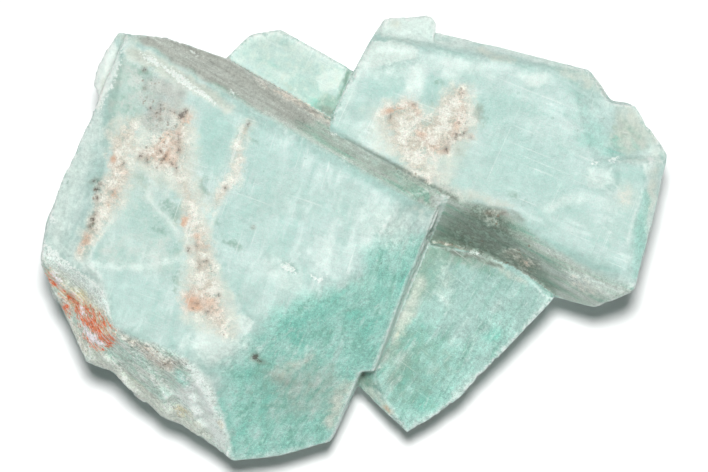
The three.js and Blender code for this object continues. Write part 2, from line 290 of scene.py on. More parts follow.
def relief(surface):
    """Swells all over, steps and striations on the walls, splinters on the fracture, and knocked edges.

    Every height, and every size that points are divided by, is in millimetres.
    """
    points = surface.points
    regions = Regions(points, surface.normals())
    swell = 0.06 * fbm(points / 6, 2, seed=1) + 0.02 * fbm(points / 1.6, 3, seed=5)
    striae = 0.06 * fbm(regions.fibre / 1.2, 2, seed=9)
    steps = 0.22 * blocks(points, 4.2, seed=41) + 0.13 * blocks(points, 1.7, seed=43)
    steps += 0.1 * fbm(points / 2, 3, seed=12)
    cleaved = smooth(noise(points / 11, seed=31), -0.35, 0.15)
    wall = (1 - regions.upward) * (striae + cleaved * (steps - 0.15))
    splinters = 0.03 * noise(regions.fibre / 1.2, seed=51) + 0.05 * fbm(regions.fibre / 0.5, 2, seed=53)
    torn = smooth(regions.fracture, -0.4, 0.4) * regions.upward * splinters
    chipped = smooth(surface.sharpness(5), 0.03, 0.1) * smooth(fbm(points / 1.5, 3, seed=21), 0.1, 0.45)
    near_floor = smooth(points[:, 2], 0.02, 0.8)
    surface.push((swell + wall + torn - 0.3 * chipped) * near_floor)
    # a dent and a swell in the fracture's lower edge, made level and square to that edge
    square_to_edge = np.array([0.59, 0.81])
    for x, y, wide, deep, inward in ((-31.4, -18.4, 3.6, 2.2, 0.75), (-24.2, -23, 3, 2, -0.5)):
        share = smooth(spot(points[:, :2], x, y, wide, deep, turn=-36), 0, deep)
        points[:, :2] += inward * share[:, None] * square_to_edge
    surface.relax(1, 0.35)
    surface.lift()


def wear(surface):
    """Rounds the edges that are worn. Each has an amount and a shape on the sheet."""
    xy = surface.points[:, :2]
    softness = np.zeros(surface.count)
    for amount, shape, *form in (
            (0.5, stroke, (-18.5, -14.5, 2.6), (-8, -9.6, 2.4), (0.5, -5.4, 1.6), (3, -1, 1.2)),
            (0.35, stroke, (-28, 24.2, 1.2), (-10, 14, 1), (8, 3.9, 1.2)),
            (0.5, stroke, (12, 5.4, 1.6), (20, 1.6, 1.6), (30, -4, 1.8), (35, -5, 1.2)),
            (0.3, stroke, (9.5, 24.1, 0.8), (29, 20.8, 0.8)),
            (0.3, stroke, (36, -5, 1), (37.8, 7, 1)),
            (0.4, stroke, (-38, -3.6, 0.6), (-34, -6.2, 1.2), (-31.6, -9.6, 1)),
            (0.1, stroke, (3.4, -17, 0.5), (12.3, 4.9, 0.6)),
            (0.45, inside, (0.5, 26), (0.5, 21.5), (9.5, 21.5), (9.5, 26)),
            (0.45, spot, 31.3, 7.3, 2.6),
            (0.45, stroke, (33, 9.8, 1), (39, 9.9, 1.2)),
            (0.5, stroke, (-32, -12.6, 2), (-26, -14.8, 2.8), (-21.6, -17.6, 2))):
        softness = np.maximum(softness, amount * smooth(shape(xy, *form), -0.8, 0.8))
    surface.relax(40, softness * smooth(surface.points[:, 2], 10, 16))


stone = Surface(even_copy(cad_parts[NODE]))
# takes away the steps that the even mesh has
stone.relax(2, 0.5)
wear(stone)
relief(stone)
seen_less = 1 - smooth(stone.normals()[:, 2], -0.1, 0.3) * smooth(stone.points[:, 2], 8, 14)
stone.thin(seen_less, MOST_TRIANGLES)
stone.lift()


# ---------------------------------------------------------------- marks, drawn on the sheet

class Sheet:
    """The stone's points seen from above, to draw marks on. The marks stay on the points in where.

    A row is the softness of a mark's edge, its amount, which is 1 at most, and then its shape: x, y, across,
    along and turn of a spot, the points of a stroke, or the corners of an area.
    """

    def __init__(self, xy, where=True):
        self.xy, self.where = xy, where

    def marks(self, shape, rows):
        return [(np.where(self.where, shape(self.xy, *form), OUTSIDE), softness, amount)
                for softness, amount, *form in rows]

    def spots(self, *rows):
        return self.marks(spot, rows)

    def strokes(self, *rows):
        return self.marks(stroke, rows)

    def areas(self, *rows):
        return self.marks(inside, rows)

    def everywhere(self, amount):
        return [(np.where(self.where, -OUTSIDE, OUTSIDE), 0.5, amount)]


def layered(*groups):
    """The amount, 0 to 1, that marks laid over each other come to. A mark is (depth, softness, amount)."""
    left = np.ones(stone.count)
    for depth, softness, amount in sum(groups, []):
        left *= 1 - amount * smooth(depth, -softness, softness)
    return 1 - left


def deepest(xy, shape, *forms):
    """How deep each point lies in the shape round it."""
    return np.max([shape(xy, *form) for form in forms], axis=0)


def wandering(size, seed):
    """An uneven shift of points on the sheet, about one millimetre at most."""
    return np.stack([noise(stone.points / size, seed), noise(stone.points / size, seed + 1)], axis=1)


points, normals = stone.points, stone.normals()
regions = Regions(points, normals)
on_big, on_right, on_slab, on_small = [regions.crystal == i for i in range(4)]

# Soft marks follow an uneven sheet, and crisp ones an even one.
sharp = points[:, :2]
xy = sharp + 0.4 * wandering(2.3, 61) + 0.22 * wandering(0.8, 63)
whole, crisp = Sheet(xy), Sheet(sharp)
big, crisp_big = Sheet(xy, on_big), Sheet(sharp, on_big)
right, crisp_right = Sheet(xy, on_right), Sheet(sharp, on_right)
slab, crisp_slab = Sheet(xy, on_slab), Sheet(sharp, on_slab)
small, crisp_small = Sheet(xy, on_small), Sheet(sharp, on_small)
fracture, back, front = regions.fracture, regions.back, regions.front
soft_marks, hard_marks = {}, {}

# bluer and deeper clouds in the level faces
soft_marks["aqua"] = layered(
    whole.spots(
        (1.2, 0.85, -17.8, 12.6, 2.2, 3.8, 5), (1.8, 0.55, -12.4, 11.6, 2.6, 4, 10),
        (1.8, 0.5, -15.4, 1.6, 3.4, 3, -30), (2.4, 0.35, -8, 6.5, 5, 2.4, -30),
        (2.2, 0.25, -12, -6, 5, 2.4, -20), (1, 0.85, 4.6, 20.2, 2.6, 2.4, 10), (0.6, 0.7, 5.7, 21.3, 0.8, 1),
        (0.9, 0.9, 10.6, 18.2, 2, 2.4, -25), (1.6, 0.7, 18.6, 16.6, 3.2, 2.2, 5),
        (0.8, 0.8, 16.4, 15.8, 1.2, 1.8), (0.8, 0.7, 13.9, 10.8, 1.2, 1.5), (3, 0.65, 23, 8.4, 7, 4.4, -25),
        (0.9, 0.6, 28, 3, 1.6, 0.9), (0.7, 0.4, 26, 1.2, 1.6, 0.6, -20),
        (1.6, 0.4, 0, 17.5, 2.4, 3.6, -20)),
    whole.strokes((0.6, 0.7, (10.4, 20.4, 0.5), (12.4, 19.9, 0.4))),
    big.spots(
        (2.2, 0.4, -29, -7.5, 4.5, 3.6), (1.8, 0.6, -26.5, 2, 4.4, 2.6, -25), (1.2, 0.7, -30, 16.6, 1.8, 2),
        (0.9, 0.25, -32.4, 9, 1, 2, -10)),
    big.strokes((1, 0.6, (-5, 11, 0.8), (3, 6.8, 1), (10, 3.2, 0.9))),
    right.spots(
        (1, 0.8, 36.8, 8, 1.8, 1.2), (0.9, 0.8, 30.4, 12.6, 1.6, 1.2), (1.6, 0.6, 27, -2.6, 5, 1.8, -25)),
    slab.everywhere(0.75),
    small.spots(
        (1.6, 0.3, -8, 21.4, 4.6, 2.6, -20), (1, 0.3, -13.2, 24.6, 1.6, 2, -20),
        (1, 0.6, -5.6, 18.6, 2.4, 1.4, -30)))

# the green of the sloping faces
soft_marks["lagoon"] = layered(
    big.areas(
        (2.2, 0.95, (-17, -17.4), (-13.4, -13.6), (-10.5, -9.8), (-6.5, -7.6), (-2, -6.6), (0.6, -6.2),
         (1.6, -2.2), (4.2, 0.4), (9.6, 0.4), (14, -2), (6, -32), (-16, -31)),
        (0.8, 0.15, (-3.5, 11), (11.2, 3), (13.5, 5), (-3, 13.4))),
    big.strokes((0.6, 0.7, (-22.6, -18.6, 0.8), (-21.6, -19.6, 0.7))),
    right.areas((1.3, 0.3, (28.4, 18.2), (28.4, 12), (31.8, 10.2), (34.6, 10.2), (32.8, 14), (30.2, 18.5))),
    right.strokes((0.7, 0.6, (38.2, 5.5, 0.7), (37.8, 0, 1), (36.8, -5, 0.8))),
    slab.spots((2.4, 0.7, 9, -18.5, 6, 6.5, -30), (1.8, 0.4, 18.5, -12.5, 4, 2.6, 50)),
    crisp_big.strokes((0.4, 0.7, (3.4, -16.2, 0.3), (7.2, -7.2, 0.4), (11.9, 4.4, 0.6))))

# deep green blotches in them
soft_marks["emerald"] = layered(
    whole.spots(
        (1, 0.6, -7.6, -11.8, 2.2, 1.6, 30), (0.8, 0.7, -7, -13.8, 0.8, 1.5, 10),
        (0.9, 0.55, -4, -9.7, 2.6, 1.1, 30), (0.8, 0.45, -2.2, -7.8, 1.4, 0.8, 20),
        (0.9, 0.5, -3.2, -12, 0.9, 1.6), (0.9, 0.85, 0.4, -10.4, 1.6, 1.1, 30),
        (1, 0.75, 2.2, -12.2, 2.4, 1.2, 40), (1, 0.4, 2.4, -15.4, 2.4, 1, 30),
        (1.2, 0.4, 3.6, -7.4, 1.4, 2.4, 10), (0.9, 0.7, 6.6, -6.2, 1, 2.2, -10),
        (1.2, 0.35, 3.6, -3.6, 1.8, 1.4, 40), (0.9, 0.6, -12.8, -17.8, 1.6, 0.9, 15),
        (0.6, 0.5, -9.8, -15.4, 1.2, 0.6, 20), (0.6, 0.8, -11.6, -22.8, 0.6, 2, -10),
        (0.7, 0.6, -10.6, -21, 1.2, 0.7, 30), (0.7, 0.6, -14.4, -25.4, 0.7, 1.4, -20),
        (0.6, 0.5, -8.8, -27.6, 0.6, 0.8), (0.5, 0.4, -6.4, -25.4, 0.4, 1.6, -15),
        (0.7, 0.5, -4, -23, 0.6, 2.2, -30), (0.7, 0.9, 6.7, -18.8, 0.8, 2, -32),
        (0.6, 0.7, 7.4, -14.8, 1.4, 0.5, 35), (1.2, 0.5, 8.2, -12.6, 1.8, 1.6),
        (0.6, 0.4, 10, -15.6, 0.5, 2, -40), (0.9, 0.75, 9.2, -22, 1.6, 1.2),
        (0.7, 0.6, 9.6, -19.8, 0.6, 1.6, -10), (0.8, 0.7, 18.6, -13.4, 1.2, 1),
        (1.2, 0.3, 14.8, -16.4, 1.4, 2.6, -35), (0.8, 0.4, 10.4, -5, 0.8, 1)),
    whole.strokes((0.7, 0.5, (-17.2, -20.6, 0.5), (-16.6, -24, 0.8), (-15.6, -27, 0.5))),
    right.spots(
        (0.9, 0.35, 33, 11.2, 1.3, 0.8, -20), (1.4, 0.4, 35.8, 12.4, 2, 1.4, 30),
        (0.7, 0.2, 37.5, -2.4, 0.6, 2, -10)),
    small.spots((0.9, 0.9, -4, 17, 1.8, 1.5, -20), (0.7, 0.35, -10.4, 22, 1.4, 0.6, -30)))

# dull dark green flecks, and painted shade along the slab's top edge and the right crystal's lower-left edge
soft_marks["moss_and_shade"] = layered(
    whole.spots(
        (0.5, 0.85, -22.8, 2.6, 0.7, 1.2), (1, 0.3, -22, 3.4, 1.2, 2, 10), (0.6, 0.6, -24, 3.6, 0.6, 1, 20),
        (0.6, 0.5, -20.2, 4.8, 0.5, 1.8, 10), (0.5, 0.5, -15, 12, 0.4, 1.6, 10),
        (0.5, 0.85, -19.5, 6, 0.5, 1.2, 25), (0.6, 0.6, -22.4, -2.2, 0.9, 0.7),
        (0.6, 0.6, -22.7, -6.2, 0.6, 1.4), (0.5, 0.75, -15.8, -0.9, 1.6, 0.5, -28),
        (0.5, 0.7, -17.9, 1.8, 0.5, 0.9, 30), (0.5, 0.5, -25, 1, 0.9, 0.5, -30),
        (0.5, 0.7, -28, 7.4, 1.8, 0.4, -38), (0.5, 0.6, -24.4, 7.2, 0.6, 0.8, -50),
        (0.5, 0.6, -29, 16.5, 0.9, 0.4, -20), (0.9, 0.5, -28, 21.6, 1, 1),
        (0.5, 0.6, -26.4, 20.8, 1.2, 0.5, -30), (0.5, 0.5, -32, 8, 0.5, 0.9),
        (0.7, 0.3, -31.6, -1.6, 0.8, 0.8), (0.5, 0.4, -14.4, -8.2, 0.4, 1, 30),
        (0.5, 0.4, -14.6, 8.6, 0.8, 0.4, 20), (0.5, 0.4, -12.9, 12.2, 0.8, 0.4, -30),
        (0.4, 0.9, 16.2, 16.1, 0.4, 0.5), (0.5, 0.5, 10.2, 17.2, 0.5, 1.2, -35),
        (0.5, 0.5, 11.4, 19.9, 0.9, 0.4), (0.4, 0.6, 13.7, 11.2, 0.4, 0.5),
        (0.6, 0.5, 21.5, 4.6, 1.2, 0.5, -30), (0.4, 0.5, 28.2, 3.6, 0.6, 0.4),
        (0.9, 0.7, -25.4, 14.4, 2.2, 1.3, -10), (0.7, 0.4, 16.2, 15.6, 1, 1.3),
        (0.6, 0.4, 13.9, 10.6, 0.9, 1.1)),
    big.areas(
        (2, 0.14, (-31, 20), (-26, 21), (-18.5, 14), (-17.5, 3), (-22, -3), (-31, 6)),
        (1.8, 0.4, (-12, -16.6), (-3, -16.4), (-2.2, -20.4), (-6, -23.6), (-11.6, -24.6), (-14, -20.4))),
    right.spots((0.4, 0.6, 33.6, 14, 0.6, 0.4), (0.6, 0.35, 1.4, 13.6, 0.9, 0.6, -30)),
    # painted shade along the right crystal's lower-left edge, where it rests on the big crystal
    right.strokes((0.4, 0.4, (-2, 13.4, 0.3), (3, 10.8, 0.2))),
    slab.spots(
        (1.2, 0.35, 11.4, -5.6, 2.4, 1.6, -40), (1.2, 0.35, 6.2, -18.4, 1.6, 3, -30),
        (0.5, 0.6, 8, -15, 1.2, 0.5, 20)),
    slab.areas(
        (0.4, 0.8, (0.8, -18.2), (2.8, -18), (3.2, -20.2), (2.4, -21.6), (0, -19.9)),
        (1.6, 0.5, (3.6, -15.4), (6.6, -11.8), (12.4, -13.6), (13.6, -17.6), (9, -23.6), (4.8, -21.4)),
        (1, 0.6, (9.6, -1.4), (13.4, -2.4), (12.4, -6), (9.2, -9.2), (7.2, -8))),
    # painted shade along the slab's top edge, under the right crystal
    slab.strokes(
        (0.7, 0.5, (12, -2.8, 0.6), (16.6, -4, 0.8), (20, -5.2, 0.5)),
        (0.6, 0.7, (10.6, -2.2, 0.5), (14.2, -3, 0.7), (17.4, -3.9, 0.4))),
    small.spots((0.7, 1, -3.4, 16.2, 1.9, 2.2, -20)),
    small.strokes(
        (0.35, 0.9, (-0.4, 21, 0.3), (-1.4, 18.8, 0.4), (-2.9, 15.2, 0.6)),
        (0.5, 0.5, (-9.4, 20, 0.4), (-8.4, 18.8, 0.5))))

# greyer greens, and painted shade along the slab's top edge and beside the big crystal's right-end wall
soft_marks["sage_and_shade"] = layered(
    [(back, 0.8, 0.95), (front, 1, 0.9), (fracture, 0.6, 0.7)],
    whole.spots((0.4, 1, 1.6, -18.8, 1.3, 0.9, -30)),
    big.spots((2.2, 0.6, -8, -23.4, 7, 4.6, 20), (1.6, 0.5, 1.6, -7, 2, 2.2, 30)),
    big.areas(
        (1.2, 0.55, (-30.2, 23.4), (-27.6, 22.6), (-25, 18.6), (-27.4, 14.2), (-31, 13.2), (-32, 17)),
        (1.4, 0.4, (-30, 9), (-24, 8.6), (-22.4, 0), (-23, -6), (-33.4, -3.6), (-33, 2)),
        (1.4, 0.75, (-12.6, -15.2), (-6.4, -14.6), (-2, -16.6), (-1.6, -20.4), (-8, -20.6), (-12, -18.8))),
    big.strokes((1.4, 0.12, (-34, 10, 1.2), (-35.4, 4, 1.2), (-36.4, -1.4, 0.8))),
    right.areas((1, 0.8, (33, 12), (34.6, 16.4), (37.4, 14), (38.8, 11), (36, 10), (34, 10.4))),
    right.strokes((0.6, 0.35, (4.6, 25.6, 0.4), (9.2, 25.2, 0.6), (15, 24.2, 0.6), (19, 23.2, 0.3))),
    slab.areas((0.9, 0.7, (3.4, -16), (7.4, -14), (8.4, -16.6), (6, -19), (3.6, -19.6))),
    # painted shade along the slab's top edge under the right crystal, and beside the big crystal's right-end
    # wall
    slab.strokes(
        (0.9, 0.8, (9.8, -2.2, 0.6), (15, -3.2, 1), (17, -3.6, 0.5)),
        (0.8, 0.75, (10, -2.6, 0.7), (8.4, -7, 1.2), (6.2, -12.4, 1), (4.2, -16, 0.8))))

# dark green-grey, and painted shade along the seams where the right crystal meets the big crystal and the
# slab
soft_marks["olive_and_shade"] = layered(
    whole.spots(
        (0.8, 0.35, -12.2, -16.2, 1.4, 0.7, -20), (0.8, 0.45, -9.2, -18.9, 1.3, 0.9, 10),
        (0.6, 0.4, -7, -19.6, 1.8, 0.5, 5), (0.4, 0.4, 1.4, -18.6, 0.8, 0.6),
        (1.2, 0.42, -25.8, 14, 2.6, 1.2, -10), (0.5, 0.85, -33.3, 1.9, 0.8, 1.3, -15),
        (0.8, 0.3, -18.9, 7.2, 0.8, 1.5, 20)),
    whole.strokes((0.5, 0.35, (-2.5, -16.6, 0.3), (-2.8, -19.6, 0.4))),
    big.strokes(
        # painted shade: this stroke darkens the back slope under the edges of the right and small crystals
        (0.8, 0.35, (-10.6, 16.4, 0.6), (-5, 13.3, 0.5), (2, 9.6, 0.6), (8, 6.2, 0.5)),
        (0.5, 0.25, (-25.6, 23.4, 0.4), (-20, 20.8, 0.5), (-13, 17, 0.4))),
    right.spots(
        (1.2, 0.55, 15.6, -0.6, 3.6, 1.5, -16), (0.6, 0.6, 16.8, -1.5, 2.2, 0.6, -25),
        (1, 0.3, 19, 0.2, 1.8, 1.2, -20), (0.7, 0.3, 16.4, 2.2, 1.8, 0.6, -10),
        (0.9, 0.7, 17.9, 2.5, 1.9, 1.2, -12), (0.6, 0.5, 16.2, 15.7, 0.8, 1),
        (0.5, 0.4, 13.8, 10.5, 0.8, 0.8), (0.6, 0.4, 1.6, 13.4, 1, 0.5, -30),
        (0.8, 0.5, 22.2, -3.6, 1.6, 0.8, -30)),
    right.areas(
        (2.2, 0.7, (10.4, 0.6), (12.8, 3.2), (15.4, 4.3), (20.5, 3.3), (21.8, 2.2), (21.8, 0.2),
         (23.6, -3.2), (26, -7.4), (21, -4.2), (15, -2.1), (10.2, -0.8))),
    right.strokes(
        # painted shade at the right crystal's foot, above the slab
        (1, 0.4, (23.4, -3.6, 0.7), (26.5, -6.6, 0.8), (28.6, -8, 0.5)),
        (0.4, 0.6, (21, 2.8, 0.2), (22, 2, 0.3))),
    # painted shade along the slab's top edge, under the right crystal, here and in the strokes below
    slab.spots((0.7, 0.2, 14, -2.9, 2.6, 0.6, -12)),
    slab.strokes(
        (0.35, 0.9, (10, -1.2, 0.4), (15, -2.5, 0.4), (19.4, -4.2, 0.2)),
        (0.4, 0.15, (10.6, -1.6, 0.4), (14.6, -2.9, 0.6), (17.4, -4.2, 0.3))),
    small.spots((0.5, 0.7, -3.4, 15.9, 1.2, 1, -20)),
    # painted shade along the seams of the right crystal with the big crystal and with the slab
    crisp_big.strokes((0.4, 0.3, (1, 10.9, 0.1), (6, 8.2, 0.3), (11.4, 5.4, 0.2))),
    crisp_right.strokes(
        (0.5, 0.8, (-1, 12.4, 0.2), (4, 9.8, 0.4), (9, 7, 0.5), (13.4, 4.6, 0.3)),
        (0.5, 0.6, (10.4, -0.7, 0.3), (15, -1.7, 0.4), (21, -3.8, 0.4), (26, -7.4, 0.4))))

# grey places
soft_marks["grey"] = layered(
    whole.spots(
        (1.4, 0.6, -24.6, 17.2, 3, 2.6, -30), (0.6, 0.35, -32.8, 5.4, 0.8, 1.6, -18),
        (0.7, 0.6, -33.5, 1.8, 0.9, 1.2, -18), (0.6, 0.3, -17.4, -12, 0.6, 1.4, 35),
        (0.9, 0.8, -25.2, 14.4, 2.2, 1.4, -10), (0.8, 0.6, -33.4, 1.6, 0.9, 1.4, -18)),
    big.areas(
        (0.9, 1, (-28, 25.8), (-25, 23.4), (-19, 20), (-12.4, 16.6), (-8, 14.6), (-5, 14.6), (-2.6, 15.8),
         (-8, 19), (-15, 25), (-22, 28)),
        (1, 0.35, (-12, 16), (-4, 12), (0, 10.6), (2, 11), (-2.9, 14.4), (-5, 15)),
        (1.6, 0.4, (-12, -17.4), (-2.4, -16.4), (-0.4, -19), (-3, -24), (-8.4, -23.6))),
    big.strokes(
        (0.9, 0.6, (-26.5, 20, 0.8), (-22.5, 18.6, 1.2)),
        (0.7, 0.75, (-31, -12.2, 0.3), (-28.4, -13.9, 0.7), (-26, -15, 0.8), (-23.4, -16.8, 0.9),
         (-21.8, -16.6, 0.5))),
    right.spots((0.9, 0.5, 17.8, 2.2, 1.8, 1, -10)),
    right.strokes((0.7, 0.5, (6.4, 8.6, 0.5), (10, 6.8, 0.7), (12.6, 5.6, 0.6))),
    slab.areas((1, 0.3, (3.4, -15.6), (7, -14.6), (8, -17), (5, -21), (3.4, -20))))

# milky places, and painted light on the big crystal's left bevel and right-end edge
soft_marks["mist_and_painted_light"] = layered(
    whole.spots(
        (0.4, 0.75, -14.1, -11.4, 1, 1.2), (1.6, 0.45, -9.4, -5.2, 5, 1.6, -25),
        (2, 0.4, -3, -3.6, 3, 2.4, -20), (1.6, 0.55, 5.6, 1, 2.4, 3.2, 22),
        (1, 0.45, 9.6, 2.4, 1.6, 1.2, -20), (1.8, 0.35, 1.8, 1.4, 2.6, 3.6, 10),
        (1, 0.4, -31, 12.6, 1.6, 1.2, 40), (1.4, 0.5, -16.2, -10, 1.6, 2.4, 10),
        (0.7, 0.75, 23.5, 20.3, 2, 0.9, -10), (0.7, 0.7, 8.2, 19.6, 1, 2.6, -8),
        (1.2, 0.5, 14, 21.8, 5, 1.4, -10), (0.8, 0.4, 12.6, 21.4, 0.8, 2.4, 20),
        (1.6, 0.5, 2.6, 12.6, 3.2, 2, -30), (1.4, 0.5, 5.6, 12.6, 2.6, 2.4, -20),
        (3, 0.15, 20, 8, 8, 3, -20)),
    whole.areas(
        (0.9, 0.6, (-24, 7.6), (-21.8, 9.8), (-20.6, 9), (-20, 6), (-20.2, 3), (-21.6, 4.6)),
        (0.4, 0.5, (30.4, 8.8), (33.6, 8.8), (33.8, 7.2), (32.2, 5.8), (30.4, 6.2), (30, 7.4)),
        (0.45, 1, (2.4, 25.2), (5, 25.2), (7.6, 24.8), (8.4, 24.1), (8, 22.9), (6.2, 22.8), (3.8, 22.3),
         (1.6, 21.8), (1.6, 23.4))),
    whole.strokes(
        (0.6, 0.65, (-29.4, 25, 0.7), (-27, 23, 0.9), (-24, 21.2, 0.9), (-21, 19.4, 0.8),
         (-18.6, 17.8, 0.3)),
        (0.35, 0.7, (-25.2, 8.8, 0.2), (-26.2, 7.4, 0.3)),
        (0.3, 0.85, (-23.9, 12.2, 0.5), (-23.2, 12.2, 0.5)),
        (0.4, 0.7, (-22.4, 13.8, 0.4), (-21.8, 13.4, 0.5)),
        (1.2, 0.6, (-20.6, -3.4, 1.2), (-18.6, -5.6, 1.4), (-18, -6.8, 0.8)),
        (0.6, 0.6, (-26.5, 5.2, 0.4), (-24, 2.4, 0.3), (-22.6, 0.2, 0.5)),
        (0.9, 0.6, (-36, -3.6, 0.6), (-30, -4.2, 0.5), (-23.5, -3.2, 0.6), (-20.6, -1.4, 0.4)),
        (0.7, 0.75, (-14.6, 10.6, 0.5), (-15.6, 7.4, 0.5), (-19, 0.4, 0.3)),
        (0.5, 0.5, (-21, -12.2, 0.2), (-22.2, -15.6, 0.3)), (0.8, 0.35, (-6.2, 9.8, 0.3), (-9.6, 2.2, 0.3)),
        (0.7, 0.35, (-1.4, 5.6, 0.3), (-3.4, -1.6, 0.3)), (0.5, 0.4, (-6, -14.6, 0.3), (-7.4, -17.6, 0.4)),
        (0.5, 0.4, (-15.8, -29, 0.5), (-9, -28.6, 0.4), (-3.6, -27.2, 0.5)),
        (0.5, 0.6, (-2.4, -26.6, 0.4), (-0.4, -21.4, 0.5), (0.8, -18.4, 0.4))),
    big.spots((1.8, 0.95, -17.6, -14, 3.2, 2.6, 30), (1.2, 0.4, -13.6, -14.8, 2, 1, 10)),
    big.areas(
        (0.6, 0.95, (-31.6, 25.8), (-30.2, 24.2), (-30.4, 21), (-31.2, 18.8), (-32.6, 16.8), (-35, 16),
         (-36, 22), (-33, 27)),
        (0.4, 0.95, (-40.4, -1.6), (-37.5, -3.3), (-34.8, -5.4), (-32.7, -6.9), (-31.5, -9.6), (-32, -10.4),
         (-33.4, -8.6), (-35.2, -7.2), (-37.6, -5.8), (-39.6, -3.6)),
        (1, 1, (-20.4, -17.4), (-18.2, -19.6), (-16.8, -24), (-15.8, -29), (-18, -27), (-20.4, -24.6),
         (-22.6, -21.8), (-23.4, -20.2), (-21, -19.6))),
    big.strokes(
        # painted light on the left bevel, which slopes away from the lamp
        (1.4, 0.75, (-33.4, 14.8, 1.3), (-36.2, 8.4, 1.6), (-38.4, 2.2, 1.8), (-38.6, -1.6, 1.2)),
        (0.8, 0.7, (-36, -2, 1), (-33.4, -5.4, 0.8), (-32.2, -9, 0.5)),
        # painted light: this stroke lightens the left bevel further, and the next one the big crystal's
        # right-end edge
        (1.2, 0.15, (-32.8, 13, 0.9), (-34.8, 6, 1), (-36.6, 0, 0.9)),
        (0.5, 0.4, (3, -17, 0.4), (7.2, -7.4, 0.4), (11.4, 3.4, 0.6)),
        (0.5, 0.7, (-23.2, -16, 0.2), (-20.6, -17.4, 0.6), (-19.6, -18.6, 0.5))),
    right.spots(
        (1.2, 0.5, 4.4, 21.4, 3.6, 1.6, -10), (0.7, 0.85, 29.4, -6, 1.8, 0.7, -25),
        (1.2, 0.4, 33.6, 3.8, 1.8, 1.4), (0.9, 0.8, 36.6, 16, 1.8, 1.4, -40),
        (0.8, 0.8, 39.4, 10.6, 1, 1.6, -20)),
    right.strokes(
        (0.5, 0.7, (3, 26.6, 0.5), (9.6, 26.4, 0.5), (20, 24.6, 0.5), (30.6, 22, 0.5)),
        (1, 0.5, (1.2, 24, 0.9), (0, 20, 1), (-1.4, 16, 0.8)),
        (0.8, 0.95, (3.4, 27.6, 1.2), (9.8, 28.2, 1.6)), (0.9, 0.5, (25.5, 3.6, 0.8), (30, 5, 0.6)),
        (0.8, 0.5, (30.6, -6.4, 0.8), (33, -7.2, 1.4), (35.4, -6.4, 1.2)),
        (0.4, 0.7, (26.4, -8.2, 0.2), (30.5, -9.6, 0.3), (33.4, -9.2, 0.3)),
        (0.5, 0.75, (38.6, 9, 0.5), (39, 4, 0.4), (38.6, 0, 0.3)),
        (0.5, 0.6, (36, 9.6, 0.3), (38.4, 9.9, 0.5))),
    slab.spots((1.2, 0.45, 12, -6.6, 1.4, 3.2, 10)),
    slab.strokes(
        (0.4, 0.6, (10.4, -7.4, 0.2), (12.2, -9.2, 0.3)),
        (0.8, 0.3, (8.4, -21, 0.3), (13, -14, 0.4), (15.4, -9.4, 0.3)),
        (0.8, 0.35, (12, -20.6, 0.3), (16.6, -13, 0.4), (20.8, -7, 0.3)),
        (0.5, 0.2, (17, -3.4, 0.2), (21, -5.2, 0.4), (25.2, -8.4, 0.5)),
        (0.5, 0.6, (25.4, -8.8, 0.3), (19, -16.2, 0.6), (16, -19, 0.7), (12.8, -21.8, 0.4),
         (7.6, -25.4, 0.3)),
        (0.5, 0.5, (1.6, -19.6, 0.3), (4.8, -23.4, 0.5), (7, -25.2, 0.3))),
    small.everywhere(0.15),
    small.spots((0.5, 0.6, -9.5, 20.4, 1.2, 0.6, -30)),
    small.strokes((0.9, 0.5, (-13, 25.4, 0.9), (-9.4, 26.6, 0.8), (-3, 22.8, 0.5))),
    crisp.strokes((0.35, 0.8, (-31, 2.4, 0.2), (-33.2, -0.8, 0.3), (-34.8, -4.6, 0.2))),
    crisp_right.strokes((0.5, 0.7, (4, 26.3, 0.3), (10, 25.2, 0.3), (20, 23.8, 0.4), (29.6, 21.4, 0.4))),
    crisp_small.areas(
        (0.3, 0.75, (-4.7, 20.4), (-3.9, 21.2), (-2.4, 21.8), (-1.1, 21.2), (-1.5, 19.6), (-2.3, 18.9),
         (-4.4, 18.7))))

